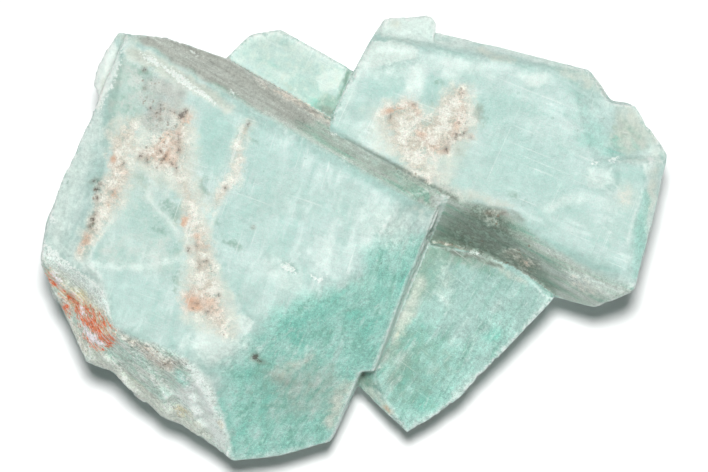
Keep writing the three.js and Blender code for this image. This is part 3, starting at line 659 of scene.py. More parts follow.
# a warm bloom round the veins
soft_marks["warm"] = layered(
    whole.spots((2.6, 0.4, -26.6, 10, 5, 5)),
    whole.areas(
        (1.1, 0.8, (-27.6, 15.2), (-23, 17.6), (-20.6, 16.6), (-19.8, 12), (-19.6, 6), (-18.4, 0),
         (-17.4, -4), (-15.4, -8), (-14.6, -13), (-18.4, -13.2), (-22.4, -11.2), (-22.4, -6), (-21.6, -2.4),
         (-22.6, 0.6), (-22.2, 4.6), (-25, 7.2), (-27.8, 8.4)),
        (1.5, 0.8, (1.6, 16.4), (4.8, 17.8), (8.6, 17.8), (10.2, 16.6), (12.6, 19.2), (15.8, 19.4),
         (16.4, 15.4), (15.8, 12), (14.2, 9.4), (12.4, 6.6), (9.8, 6.4), (6.6, 8.8), (3.4, 10.8),
         (2.2, 13.2))),
    whole.strokes(
        (0.9, 0.75, (-30.2, 13.6, 1.6), (-29.4, 10.4, 1.8), (-31, 5.4, 1.7), (-33.2, 1.4, 1.3),
         (-35, -2.4, 0.7)),
        (0.8, 0.6, (-13.4, 14.6, 0.6), (-14.8, 10.4, 0.8), (-15.8, 7.4, 0.9), (-18.2, 4.2, 1)),
        (0.7, 0.7, (11.6, 6.2, 0.8), (16.4, 4.9, 0.8), (21, 3.6, 0.4))),
    big.spots((0.6, 0.5, 8.4, 3.4, 1.2, 0.6, -25)),
    big.strokes(
        (0.7, 0.85, (-28.6, 23.6, 1), (-22.4, 20.4, 1.1), (-16, 16.2, 0.7)),
        (0.7, 0.25, (-31.6, 22.4, 0.9), (-32.4, 19, 0.9), (-32.6, 17, 0.4)),
        (0.7, 0.5, (-9.6, -18, 0.8), (-5.6, -15.8, 0.8)),
        (0.9, 0.8, (-3, -24.6, 0.7), (-2, -21.6, 0.9), (-0.6, -19.6, 0.6)),
        (0.6, 0.6, (-30.8, 26, 0.5), (-26, 25, 0.4)),
        (0.6, 0.6, (-38.8, -4.4, 0.6), (-36.6, -7.4, 1.5), (-33.6, -9.8, 1.5), (-32, -12.4, 0.8)),
        (0.6, 0.85, (-37.6, -11, 0.8), (-35.2, -14.2, 1), (-32.6, -16.6, 1.3), (-29.4, -18.9, 0.8),
         (-26.6, -21.6, 0.9), (-23.8, -23.8, 1), (-20.4, -25.4, 0.8), (-18.6, -26.8, 0.4)),
        (0.5, 0.6, (-26.8, -14.6, 0.4), (-25.4, -16, 0.6), (-24.8, -17.8, 0.3))),
    right.spots(
        (1.2, 0.45, 35.6, 13.4, 2.4, 2.8, 20), (1, 0.6, 35.4, 5.4, 1.3, 1.8), (0.7, 0.6, 39, 6, 0.7, 4, -8),
        (0.7, 0.6, 5.4, 27.6, 1.4, 0.8), (0.8, 0.6, 30.4, -6.8, 2.4, 0.8, -20)),
    right.strokes(
        (0.5, 0.6, (16.5, 23.8, 0.6), (21, 22.4, 0.4)),
        (0.8, 0.6, (27, 21, 0.6), (31.6, 19.6, 0.8), (35.4, 17, 0.8), (39.4, 12, 0.7))),
    slab.strokes(
        (0.7, 0.6, (8.8, -6, 0.8), (6.2, -12, 1), (5, -13.6, 0.6)),
        (0.5, 0.5, (15.6, -2.6, 0.3), (18.8, -4, 0.7), (22.4, -6, 0.4)),
        (0.4, 0.6, (2, -20.2, 0.4), (4.8, -23.2, 0.5))),
    small.everywhere(0.35))

# feldspar of another colour: veins and patches
hard_marks["cream"] = np.maximum(
    deepest(xy, stroke,
        ((-28.6, 14.2, 0.6), (-29.8, 12.2, 1.5), (-30.4, 10, 1.1), (-30.3, 8, 1.2), (-31.4, 5.8, 1.3),
         (-32.2, 3.8, 1.1), (-33.4, 1.4, 0.9), (-34.6, -0.9, 0.7), (-35.1, -2.4, 0.3)),
        ((-22, 7.6, 0.7), (-21, 4.4, 0.6), (-21.2, 1.8, 0.9), (-20.2, 0, 1), (-19.5, -2, 1.1),
         (-19.3, -4.6, 1.3), (-19.7, -8.2, 2.2), (-18.2, -10, 1.5), (-17.1, -11.6, 0.9),
         (-16.3, -12.6, 0.4)),
        ((-14, 13.6, 0.3), (-14.8, 10.6, 0.5), (-15.6, 7.8, 0.6), (-16.8, 5.6, 0.6), (-18, 3.8, 0.5))),
    deepest(xy, inside,
        ((-28.8, 12.2), (-27, 11.6), (-25.8, 12.6), (-23.4, 13.2), (-22.6, 15.6), (-21.2, 15.4),
         (-21.4, 11.2), (-22.2, 8.4), (-24.6, 8.6), (-27.4, 9.6), (-28.8, 10.6)),
        ((3.4, 15.6), (4.7, 16.9), (8.2, 17.4), (9.2, 15.6), (10.4, 15.8), (13.2, 19), (14.9, 18.8),
         (15.1, 15.4), (15.2, 12.4), (13, 12), (12.4, 10.6), (9.6, 9.8), (10.6, 7.4), (8, 7.9), (6, 10.4),
         (4.2, 13.2))))

# beige, in places pinkish
soft_marks["beige"] = layered(
    whole.spots(
        (0.8, 0.75, -30.9, 9.6, 1.1, 1.2), (0.7, 0.5, -29.7, 8, 1, 0.9),
        (0.8, 0.6, -31.4, 5.2, 0.9, 1.7, -25), (0.7, 0.4, -33.2, 2, 0.7, 1.4, -25),
        (0.6, 0.5, -34.6, -0.8, 0.6, 1.3, -15), (0.7, 0.3, -28.3, 13.2, 0.9, 0.8),
        (0.6, 0.5, -23.6, 15.8, 1, 0.5, -20), (0.6, 0.6, -21.6, 15.1, 0.9, 0.9),
        (0.6, 0.6, -21.6, 1.8, 0.8, 1.1, -20), (0.8, 0.5, -20, -0.7, 0.8, 1.3),
        (0.6, 0.45, -19.2, -1.8, 0.7, 0.6), (0.9, 0.9, -20.6, -8.5, 1.9, 1.6),
        (0.8, 0.85, -18.4, -9.2, 1.5, 1.2), (0.7, 0.5, -17.3, -11.2, 0.7, 1.3, 35),
        (0.6, 0.85, 9, 13.2, 1.1, 0.9), (0.9, 0.55, 10.2, 12, 1.6, 1.1),
        (0.6, 0.75, 11.2, 11.2, 1.2, 0.8, -20), (0.5, 0.5, 12.3, 11, 0.6, 0.7),
        (0.6, 0.4, 9.6, 10.5, 0.8, 0.8), (0.9, 0.3, 10.4, 15, 1.8, 0.8)),
    whole.areas(
        (0.7, 0.85, (-25, 12.6), (-23.4, 13.2), (-22.2, 15.4), (-22, 15), (-22.4, 12), (-22.9, 10),
         (-22.9, 8.4), (-24.5, 8.8), (-26.4, 10), (-27, 11.2), (-25.4, 12.2))),
    whole.strokes(
        (0.5, 0.8, (4, 16, 0.5), (5.4, 16.4, 0.6), (7.4, 16.9, 0.5), (8.4, 16, 0.6)),
        (0.7, 0.7, (14.2, 18.4, 0.5), (14.2, 16, 0.7), (13.6, 14, 1), (12.8, 12.4, 0.7))),
    big.strokes(
        (0.5, 0.5, (-13, 20.6, 0.2), (-8.2, 17.9, 0.5), (-5, 16, 0.7), (-3.2, 14.9, 0.6)),
        (0.6, 0.6, (-31, -12.4, 0.2), (-28.2, -14, 0.5), (-25.8, -15.6, 0.7), (-23.8, -17, 0.8)),
        (0.6, 0.45, (-37.2, -11.4, 0.5), (-34.6, -15.2, 0.7))),
    right.spots(
        (0.8, 0.2, 17.8, 2.2, 1.7, 1, -10), (0.8, 0.45, 22.6, -3.5, 1.9, 0.9, -35),
        (0.6, 0.35, 20.4, -2.5, 1, 0.7), (0.6, 0.3, 29.6, -6.3, 1.6, 0.6, -25),
        (0.5, 0.5, 9.8, 7.2, 0.7, 0.6), (0.7, 0.3, 35.2, 5.2, 0.8, 1)),
    right.strokes((0.3, 0.6, (10.6, -0.8, 0.15), (13, -1.2, 0.25), (15.4, -2, 0.1))))

# amber stains in the veins
soft_marks["amber"] = layered(
    whole.spots(
        (0.45, 0.85, -31, 9.9, 0.5), (0.35, 0.75, -31.1, 5.4, 0.4, 0.7, -15), (0.3, 0.5, -31.7, 3.9, 0.35),
        (0.45, 0.7, -34.7, -0.9, 0.5, 1.1, -15), (0.5, 0.3, -29.5, 8, 0.7, 0.6),
        (0.4, 0.5, -21.5, 14.9, 0.7), (0.5, 0.5, -23.6, 13.3, 0.9, 0.5), (0.4, 0.5, -24.6, 12.4, 0.5, 0.8),
        (0.3, 0.7, -24.3, 10.1, 0.3, 0.7, -30), (0.5, 0.4, -23.4, 9.6, 0.8, 0.6),
        (0.4, 0.4, -23.2, 10.8, 0.7, 0.4), (0.4, 0.8, -21.8, 1.6, 0.5, 0.7), (0.4, 0.5, -20, -0.4, 0.4, 0.8),
        (0.4, 0.4, -19.2, -1.7, 0.5, 0.4), (0.7, 0.9, -20.9, -8.8, 1.1, 0.9, -20),
        (0.5, 0.5, -19.8, -9.6, 0.9, 0.4), (0.5, 0.6, -18.5, -8.8, 0.8, 0.7),
        (0.5, 0.4, -17.8, -10, 0.7, 0.5), (0.4, 0.75, 5.3, 16.2, 0.9, 0.4, 10),
        (0.4, 0.6, 8.8, 13.2, 0.6, 0.5), (0.4, 0.35, 11.5, 11.2, 0.7, 0.4), (0.5, 0.5, 13.6, 14, 0.5, 1, 20),
        (0.3, 0.5, 4.4, -22.8, 0.35, 0.7, 35)),
    big.strokes((0.35, 0.3, (-10, 18.9, 0.15), (-5.4, 16.4, 0.3), (-3.4, 15.2, 0.3))),
    right.spots((0.4, 0.25, 22.3, -3.6, 0.9, 0.4, -30)))

# yellow stains, most of them on the fracture
soft_marks["ochre"] = layered(
    whole.spots(
        (0.25, 0.9, -38.6, -4.9, 0.4, 0.25, -30), (0.5, 0.9, -22.2, -22.9, 1.2, 0.6, -35),
        (0.4, 0.5, -20.5, -24.6, 0.7, 0.5, -35), (0.35, 0.7, -17.4, -24.7, 0.5, 0.7),
        (0.5, 0.4, -28, -19.4, 2, 0.4, -45), (0.35, 0.7, 4.4, -22.8, 0.4, 0.8, 35),
        (0.3, 0.5, 5.7, -12.7, 0.35, 0.7, -35)),
    big.strokes(
        (0.7, 0.9, (-39.4, -4.6, 0.3), (-37.4, -7.4, 1.1), (-35.4, -8.8, 1.5), (-33.2, -11, 1.2),
         (-32, -12.8, 0.6)),
        (0.5, 0.5, (-32, 20.4, 0.3), (-32.4, 18, 0.4), (-32.7, 17, 0.3))))

# rust on the fracture
hard_marks["rust"] = np.maximum(
    deepest(xy, stroke,
        ((-37.9, -7.8, 0.05), (-36.4, -8.7, 0.4), (-35.7, -10, 0.3), (-35, -11.2, 0.55),
         (-33.6, -11.9, 0.65), (-32.7, -12.9, 0.45), (-31.9, -13.5, 0.5)),
        ((-35.2, -8.8, 0.1), (-34.4, -10, 0.35), (-33.4, -11.2, 0.45)), ((-33, -10, 0), (-31.8, -12.4, 0.1)),
        ((-34.5, -13.4, 0.1), (-33.6, -13.8, 0.25), (-33.1, -14.4, 0.1)),
        ((-39.6, -5.3, 0.1), (-38.9, -6.6, 0.15))),
    deepest(xy, spot, (-37.4, -9.2, 0.2, 0.4)))

# lilac white between the rust
soft_marks["lilac"] = layered(
    whole.strokes(
        (0.3, 0.9, (-34.9, -12.2, 0.2), (-33.8, -13.2, 0.5), (-32.7, -13.9, 0.2)),
        (0.3, 0.7, (-35.6, -9.2, 0.2), (-34.9, -10.4, 0.3)),
        (0.4, 0.6, (-38.6, -5, 0.3), (-37.9, -6.6, 0.3))))

# crisp white chips, flaked rims and bruised edges
hard_marks["chips"] = np.maximum(
    deepest(sharp, stroke,
        ((-27.6, 23.6, 0), (-26.2, 22.7, 0.4), (-24.6, 21.8, 0.2), (-22.8, 20.7, 0.45), (-21.2, 19.4, 0.35),
         (-19.4, 18.3, 0.25), (-17.7, 16.9, 0)),
        ((-9.1, -3.6, 0.2), (-8.5, -4.2, 0.55), (-7.8, -4.6, 0.35)),
        ((-5.4, -5.3, 0.05), (-4.4, -5.9, 0.22), (-3.2, -5.2, 0.05)),
        ((-40.2, -1, 0.2), (-38.8, -2.4, 0.3), (-36, -4.4, 0.15), (-33.6, -6.3, 0.2), (-32.4, -7.8, 0.15)),
        ((15, -2.05, 0.05), (16.6, -2.5, 0.06)), ((2.4, -17.9, 0.12), (3.4, -17.2, 0.2)),
        ((-31.2, 19.6, 0), (-32.4, 17.4, 0.12), (-32.8, 16.1, 0.08)),
        ((-30, 24, 0.05), (-30.5, 21.2, 0.08), (-31.2, 19, 0)), ((-22, -18.4, 0.1), (-21.4, -18.7, 0.2))),
    deepest(sharp, spot,
        (-39.1, 2.2, 0.7, 0.35, -45), (-2.7, 13.2, 0.35, 0.2, -30), (33.8, 9.75, 0.5, 0.25, 20),
        (31.4, 9.35, 0.3, 0.2), (38.7, 9.8, 0.4, 0.3), (-20.3, 23.5, 0.35, 0.12, -30),
        (-15.5, 18.4, 0.25, 0.12, -30)))

# painted highlights along sharp edges, and painted light on the walls below them, on the flake at the top
# left and on a facet of the fracture
painted_highlights = layered(
    crisp.strokes(
        (0.25, 0.6, (-2.8, -27.3, 0.2), (-0.6, -21.6, 0.2), (1.1, -17.8, 0.12)),
        (0.2, 0.7, (1.2, -17.7, 0.1), (2.4, -18, 0.12))),
    crisp_big.spots((0.6, 0.15, -23, -19.4, 1.8, 1.6, -45)),
    crisp_big.areas(
        (0.8, 0.3, (-20.4, -17.6), (-18.2, -19.8), (-17, -24), (-16.2, -28.6), (-19.6, -24.6),
         (-22.4, -20.4)),
        (0.5, 0.45, (-34.4, 16.8), (-34.4, 22.4), (-31.4, 26.4), (-30.6, 24), (-31.2, 19.6), (-32.4, 17))),
    crisp_big.strokes(
        (0.35, 0.75, (2.8, -17.6, 0.3), (7.2, -7.1, 0.5), (12.2, 4.9, 0.8)),
        (0.15, 0.5, (-6.3, -12.9, 0.05), (-7.4, -15.4, 0.05)),
        (0.3, 0.3, (-15.8, -28.4, 0.05), (-16.9, -24, 0.1), (-18, -20.3, 0.05))),
    crisp_right.strokes(
        (0.2, 0.35, (-2.7, 13.2, 0.1), (4.6, 9.2, 0.1), (9.2, 6.7, 0.05)),
        (0.3, 0.55, (38.2, 7.4, 0.05), (36.6, 3, 0.1), (35.6, -1, 0.15)),
        (0.3, 0.6, (34.4, 9.5, 0.05), (38.6, 9.9, 0.1))),
    crisp_slab.strokes(
        (0.2, 0.6, (2.9, -18, 0.05), (2.9, -19.4, 0.08)), (0.2, 0.6, (3, -20.2, 0.05), (5.4, -22.8, 0.08))))

# places with a coarse grain and dark specks
soft_marks["specks"] = layered(
    whole.spots(
        (1, 0.8, -24.2, 10.8, 2.8, 2.8, 20), (1, 0.95, -24.8, 15, 2.8, 2.2, -20),
        (1, 0.6, -25.6, 17.8, 2.6, 1.8, -30), (0.9, 0.7, -26.4, 20, 1.6, 1.6, -30),
        (0.5, 0.9, -33.2, 5.8, 0.7, 1.7, -10), (0.5, 0.9, -33.8, 1.8, 0.8, 1.2, -20),
        (0.8, 0.4, -31.8, 4.6, 1, 1.8, -30), (0.8, 0.5, -19.2, -4, 1.2, 1.6),
        (1, 0.45, -19.3, -9, 2.6, 1.8, -20), (0.5, 0.7, -16.6, -12, 0.6, 1.3, 30)),
    whole.strokes(
        (0.5, 0.6, (4, 16, 0.4), (8.3, 16.9, 0.5)),
        (0.6, 0.7, (14.2, 18.6, 0.5), (13.8, 13, 1), (11.8, 10.9, 0.6)),
        (0.7, 0.6, (6.2, 8.6, 0.6), (10.2, 6.6, 0.8), (12.6, 5.8, 0.6))),
    big.spots((0.5, 0.4, -22, -22.9, 1.4, 0.8, -35)),
    big.strokes(
        (0.6, 0.7, (-30.4, -12.8, 0.4), (-27, -14.6, 0.8), (-23.6, -16.8, 0.9)),
        (0.5, 0.4, (-22.6, -15.6, 0.3), (-20.8, -18, 0.3))),
    right.spots((0.9, 0.8, 17.6, 2.2, 2.2, 1.2, -15), (0.8, 0.5, 28.4, -5.8, 1.8, 0.8, -20)),
    right.areas((1, 0.35, (11, 4.5), (20.5, 3.2), (25, -4), (25.5, -7.2), (18, -3.2), (10.6, -1))))

# single dark grains
hard_marks["dots"] = deepest(sharp, spot,
    (-22.2, 15.5, 0.5, 0.4, 40), (-21.7, 16, 0.3), (-23.3, 16, 0.35, 0.12, -25), (-24.8, 16.9, 0.24, 0.14),
    (-26.2, 16.4, 0.18), (-25.4, 15.8, 0.28, 0.13, 50), (-24.9, 16.1, 0.11, 0.5), (-25, 15, 0.17),
    (-27, 19, 0.2), (-27, 21.4, 0.25), (-24.4, 10.1, 0.14, 0.5, -30), (-22.5, 11, 0.2, 0.28),
    (-22.6, 12.4, 0.1, 0.5), (-26.7, 9.7, 0.16, 0.34), (-27.5, 10.2, 0.34, 0.2, 50),
    (-29.7, 9.2, 0.2, 0.12, 45), (-24.9, 10.8, 0.24, 0.18), (-23.4, 9.2, 0.2), (-22.9, 8.5, 0.12, 0.3),
    (-33.5, 7, 0.3, 0.14, 20), (-33.2, 5.9, 0.32, 0.26), (-33.2, 4.8, 0.2, 0.34), (-32.7, 6.6, 0.22, 0.15),
    (-31.2, 5.5, 0.12), (-33.7, 2, 0.3, 0.26), (-33.3, 2.6, 0.15), (-34.1, 1.2, 0.2),
    (-21.3, -1.9, 0.24, 0.3), (-20.3, -1.5, 0.12, 0.24), (-19.1, -3.4, 0.18, 0.12), (-19.9, -4, 0.1, 0.24),
    (-17.4, -7.8, 0.2), (-20.5, -8.8, 0.26, 0.14), (-18.8, -9.9, 0.2, 0.12), (-16.5, 6.1, 0.22),
    (-13.6, 14.3, 0.18, 0.36, -20), (-12.9, 1, 0.16), (-12.7, -15.8, 0.45, 0.4, 30),
    (-12.2, -16.3, 0.4, 0.18, -20), (-24.5, -16.8, 0.25, 0.15), (7.9, 16.9, 0.2, 0.14),
    (4.8, 15.4, 0.12, 0.3), (13.4, 13.1, 0.18), (13.3, 12.6, 0.22, 0.17), (14.4, 13.2, 0.13, 0.3, -30),
    (15.3, 12.7, 0.2, 0.15), (12.1, 11.1, 0.2, 0.32, -30), (14.3, 18.4, 0.2, 0.12), (17.8, 2.9, 0.25, 0.1),
    (19.5, 2.9, 0.3, 0.1, -15))

# Marks that are drawn from above stay off the walls and the underside.
facing = smooth(normals[:, 2], 0, 0.25)
# The crystals' seams and the fracture's rim aren't worn white.
seams = deepest(
    sharp, stroke, ((10, -1, 0.8), (15, -2, 0.8), (21, -4.2, 0.8), (26, -7.8, 0.6)),
    ((-31, -12.4, 1.4), (-26.4, -14.4, 1.8), (-22, -16.4, 1.4), (-18.6, -19.4, 1.6), (-17, -23.8, 1.4),
     (-16, -29, 1)))
slopes = smooth(back, -0.5, 0.5) + smooth(front, -0.5, 0.5) + 0.6 * on_slab
# the stone's own colours, with painted light and painted shade among them
paint_layers = {
    **{name: amount * facing for name, amount in soft_marks.items()},
    **{name: np.where(facing > 0.3, depth, -3) for name, depth in hard_marks.items()},
    # painted highlights, which also reach down onto the walls below the edges
    "painted_highlights": painted_highlights * smooth(normals[:, 2], -0.3, 0.05) * smooth(points[:, 2], 2, 5),
    "worn": smooth(stone.sharpness(3), 0.015, 0.07) * (1 - 0.8 * smooth(seams, 0, 0.6)),
    # painted light on strongly sloping faces, which the lamp reaches less
    "wall": 1 - facing,
    "painted_light_on_steep": smooth(normals[:, 2], 0.75, 0.2),
    "slope": np.clip(soft_marks["lagoon"] + slopes, 0, 1),
    "fracture": smooth(fracture, -0.4, 0.4) * facing,
}


# ---------------------------------------------------------------- materials

def srgb(*channels):
    """A colour as it looks on a screen, 0 to 255, as the linear colour that a shader takes."""
    linear = [c / 255 / 12.92 if c <= 10 else ((c / 255 + 0.055) / 1.055) ** 2.4 for c in channels]
    return (*linear, 1.0)


HAZE = srgb(172, 200, 192)
CLEAR = srgb(183, 208, 202)
VEIL = srgb(200, 220, 214)
AQUA = srgb(160, 196, 187)
LAGOON = srgb(146, 208, 193)
EMERALD = srgb(128, 198, 182)
DEEP = srgb(108, 170, 150)
MOSS = srgb(122, 158, 142)
SAGE = srgb(164, 188, 172)
OLIVE = srgb(108, 118, 105)
GREY = srgb(164, 165, 157)
PEARL = srgb(186, 193, 184)
MIST = srgb(216, 230, 223)
WHITE = srgb(240, 246, 241)
WARM = srgb(198, 206, 194)
CREAM = srgb(218, 217, 206)
SAND = srgb(200, 193, 177)
BEIGE = srgb(202, 174, 152)
AMBER = srgb(198, 152, 116)
BROWN = srgb(126, 102, 82)
UMBER = srgb(66, 58, 48)
OCHRE = srgb(212, 194, 146)
RUST = srgb(242, 118, 60)
BRICK = srgb(190, 86, 44)
LILAC = srgb(228, 224, 230)


class Value:
    """A number that a material's nodes work out. It can be added, subtracted and multiplied."""

    def __init__(self, nodes, socket):
        self.nodes, self.socket = nodes, socket

    def __add__(self, other):
        return self.nodes.math("ADD", self, other)

    def __mul__(self, other):
        return self.nodes.math("MULTIPLY", self, other)

    def __sub__(self, other):
        return self.nodes.math("SUBTRACT", self, other)

    def __rsub__(self, other):
        return self.nodes.math("SUBTRACT", other, self)


class Nodes:
    """A material's nodes, made in short calls. A number that they work out is a Value."""

    def __init__(self, name):
        self.material = bpy.data.materials.new(name)
        self.material.use_nodes = True
        self.tree = self.material.node_tree
        self.tree.nodes.clear()

    def add(self, kind, inputs=None, **settings):
        """A new node. inputs says what goes into its sockets, by name or number."""
        node = self.tree.nodes.new(kind)
        for key, value in settings.items():
            setattr(node, key, value)
        for key, value in (inputs or {}).items():
            value = value.socket if isinstance(value, Value) else value
            if isinstance(value, bpy.types.NodeSocket):
                self.tree.links.new(value, node.inputs[key])
            else:
                node.inputs[key].default_value = value
        return node

    def math(self, operation, a, b):
        return Value(self, self.add("ShaderNodeMath", {0: a, 1: b}, operation=operation).outputs[0])

    def attribute(self, name):
        return Value(self, self.add("ShaderNodeAttribute", attribute_name=name).outputs["Fac"])

    def vector(self, name):
        return self.add("ShaderNodeAttribute", attribute_name=name).outputs["Vector"]

    def stretched(self, vector, factors):
        return self.add("ShaderNodeVectorMath", {0: vector, 1: factors}, operation="MULTIPLY").outputs[0]

    def noise(self, vector, size, detail, roughness, distortion=0.0):
        """Noise with features of that size, about 0.5 on average."""
        inputs = {"Vector": vector, "Scale": 1 / size, "Detail": detail, "Roughness": roughness,
                  "Distortion": distortion}
        return Value(self, self.add("ShaderNodeTexNoise", inputs).outputs[0])

    def cells(self, vector, size):
        """The distance to the nearest of many scattered points, and a random number for each."""
        node = self.add("ShaderNodeTexVoronoi", {"Vector": vector, "Scale": 1 / size})
        return Value(self, node.outputs["Distance"]), Value(self, node.outputs["Color"])

    def ramp(self, value, low, high):
        """A soft rise from 0 at low to 1 at high."""
        inputs = {"Value": value, "From Min": low, "From Max": high}
        return Value(self, self.add("ShaderNodeMapRange", inputs, interpolation_type="SMOOTHSTEP").outputs[0])

    def wobble(self, value, noise, amount):
        """A value that noise raises and lowers, by about that amount."""
        return value + (noise - 0.5) * (8 * amount)

    def mix(self, amount, a, b):
        inputs = {"Factor": amount, 6: a, 7: b}
        return self.add("ShaderNodeMix", inputs, data_type="RGBA", clamp_factor=True).outputs[2]

    def either(self, noise, low, high, first, second):
        """One colour where the noise is below low, and another where it is above high."""
        return self.mix(self.ramp(noise, low, high), first, second)

    def finish(self, **inputs):
        """The material, with a shader that has these inputs."""
        named = {key.replace("_", " "): value for key, value in inputs.items()}
        shader = self.add("ShaderNodeBsdfPrincipled", named)
        self.add("ShaderNodeOutputMaterial", {"Surface": shader.outputs[0]})
        return self.material


class StoneNodes(Nodes):
    """The nodes of the stone's material, with the noises and the drawn shares that its colours use."""

    def __init__(self):
        super().__init__("amazonite")
        millimetres = (1 / MM, 1 / MM, 1 / MM)
        place = self.stretched(self.add("ShaderNodeTexCoord").outputs["Object"], millimetres)
        along, over = self.vector("fibre"), self.vector("cross")
        thin = (0.25, 1, 1)
        self.place = place
        self.cloud = self.noise(place, 6.5, 4, 0.55, 0.4)
        self.drift = self.noise(self.stretched(along, (3, 1, 1)), 1.7, 5, 0.6, 0.5)
        self.mottle = self.noise(place, 1.9, 5, 0.6, 0.3)
        self.fleck = self.noise(place, 0.9, 4, 0.65)
        self.grain = self.noise(place, 0.45, 3, 0.6)
        self.sand = self.noise(place, 0.18, 2, 0.6)
        self.dust = self.noise(place, 0.11, 1, 0.5)
        self.streak = self.noise(along, 1.2, 5, 0.6, 0.3)
        self.thread = self.noise(along, 0.32, 3, 0.65)
        self.hatch = self.noise(over, 0.45, 3, 0.6, 0.2)
        self.scratch = self.noise(self.stretched(along, thin), 0.3, 1, 0.5)
        self.cut = self.noise(self.stretched(over, thin), 0.3, 1, 0.5)
        self.splinter = self.noise(self.stretched(along, (0.6, 1, 1)), 0.24, 2, 0.6)

        self.slope, self.wall, self.broken = [self.attribute(name) for name in ("slope", "wall", "fracture")]
        self.grained = self.math("MINIMUM", self.slope + self.wall + self.broken, 1)
        self.specks = self.attribute("specks")
        ragged = self.wobble(self.wobble(self.attribute("cream"), self.mottle, 0.4), self.fleck, 0.4)
        self.vein = self.ramp(ragged, -1.2, 1)
        # patches on the clear faces, and streaks along the grain on the others
        self.strand = self.mottle + self.grained * (self.streak - self.mottle)
        self.wisp = self.fleck + self.broken * (self.thread - self.fleck)

    def paint(self, tone, name, colour, opacity, noise, rough=0.15, low=0.1, high=0.9):
        """Lays a drawn pigment, or drawn painted light or shade, over the colour below it, with an edge that
        noise makes uneven.
        """
        drawn = self.attribute(name)
        amount = self.ramp(self.wobble(drawn, noise, rough), low, high)
        return self.mix(amount * self.ramp(drawn, 0, 0.15) * opacity, tone, colour)


def body_colour(n):
    """Cloudy aqua, with deeper blue-greens and greens where they are drawn, and painted shade in greens along
    the slab's edges.
    """
    tone = n.either(n.cloud, 0.36, 0.64, HAZE, CLEAR)
    tone = n.mix(n.ramp(n.drift, 0.5, 0.64) * 0.75, tone, VEIL)
    tone = n.mix(n.ramp(n.drift, 0.48, 0.36) * 0.65, tone, AQUA)
    tone = n.paint(tone, "aqua", AQUA, 0.9, n.drift)
    tone = n.paint(tone, "sage_and_shade", n.either(n.strand, 0.4, 0.62, SAGE, PEARL), 0.85, n.strand)
    green = n.either(n.mottle, 0.34, 0.66, LAGOON, n.mix(0.5, LAGOON, CLEAR))
    tone = n.paint(tone, "lagoon", green, 0.9, n.mottle, 0.2)
    tone = n.paint(tone, "emerald", EMERALD, 0.9, n.streak, 0.3)
    return n.paint(tone, "moss_and_shade", MOSS, 0.75, n.fleck, 0.3)


def perthite(n, tone):
    """Soft green and pale streaks along the grain of the slopes and walls."""
    drawn = n.slope * 0.48 + n.wall * 0.6
    tone = n.mix(n.ramp(n.streak, 0.48, 0.34) * drawn, tone, DEEP)
    return n.mix(n.ramp(n.streak, 0.53, 0.68) * drawn, tone, VEIL)


def zones(n, tone):
    """Milky and warm places, grey and dark zones, painted light on shaded bevels and edges, painted shade
    along the seams, and the fracture's yellow stain.
    """
    tone = n.paint(tone, "mist_and_painted_light", MIST, 0.85, n.wisp, 0.12, 0.05, 0.95)
    tone = n.paint(tone, "warm", WARM, 0.9, n.wisp, 0.15, 0.05, 0.95)
    tone = n.paint(tone, "grey", n.either(n.strand, 0.36, 0.64, GREY, PEARL), 0.9, n.strand, 0.1)
    dark = n.either(n.fleck, 0.4, 0.66, OLIVE, n.mix(0.4, MOSS, GREY))
    tone = n.paint(tone, "olive_and_shade", dark, 0.9, n.fleck)
    return n.paint(tone, "ochre", n.either(n.thread, 0.4, 0.6, OCHRE, WARM), 0.85, n.thread, 0.3)


def veins(n, tone):
    """Veins of another feldspar, granular and stained."""
    flesh = n.either(n.mottle, 0.4, 0.6, SAND, CREAM)
    flesh = n.mix(n.ramp(n.fleck, 0.54, 0.7) * 0.35, flesh, MIST)
    flesh = n.mix(n.ramp(n.fleck, 0.46, 0.34) * 0.5, flesh, SAGE)
    tone = n.mix(n.vein * 0.85, tone, flesh)
    tone = n.paint(tone, "beige", n.either(n.fleck, 0.36, 0.62, BEIGE, CREAM), 0.85, n.fleck, 0.25)
    return n.paint(tone, "amber", n.either(n.fleck, 0.38, 0.64, AMBER, BEIGE), 0.85, n.fleck, 0.25)


def rust_flecks(n, tone):
    """Rust in flecks drawn out along the splinters, with lilac white beside them."""
    rust = n.attribute("rust")
    glow = n.ramp(n.wobble(rust, n.thread, 0.3), -0.9, 0.3)
    tone = n.mix(glow * n.broken * 0.55, tone, AMBER)
    flecks = n.ramp(n.wobble(n.wobble(rust, n.thread, 0.6), n.grain, 0.4), -0.5, 0.6)
    tone = n.mix(flecks * 0.95, tone, n.either(n.grain, 0.4, 0.6, RUST, BRICK))
    return n.paint(tone, "lilac", LILAC, 0.9, n.grain, 0.4)


def dark_specks(n, tone):
    """Scattered dark specks, single dark grains, and tiny pits in the clear faces."""
    near, pick = n.cells(n.place, 0.55)
    often = n.specks * (n.ramp(n.mottle, 0.42, 0.58) * 0.5 + 0.1)
    chosen = n.math("LESS_THAN", pick, often)
    speck = n.ramp(n.wobble(near, n.sand, 0.1), 0.5, 0.2) * chosen
    tone = n.mix(speck * 0.6, tone, n.either(n.mottle, 0.44, 0.56, MOSS, BROWN))
    tone = n.mix(n.ramp(n.grain, 0.44, 0.3) * n.specks * 0.5, tone, MOSS)
    dots = n.wobble(n.attribute("dots"), n.sand, 0.1)
    tone = n.mix(n.ramp(dots, -0.5, 0.1) * 0.35, tone, BROWN)
    tone = n.mix(n.ramp(dots, -0.05, 0.15) * 0.75, tone, UMBER)
    near, pick = n.cells(n.place, 1.7)
    pits = n.ramp(n.wobble(near, n.sand, 0.05), 0.13, 0.05) * n.math("LESS_THAN", pick, 0.22)
    return n.mix(pits * 0.4, tone, MOSS)


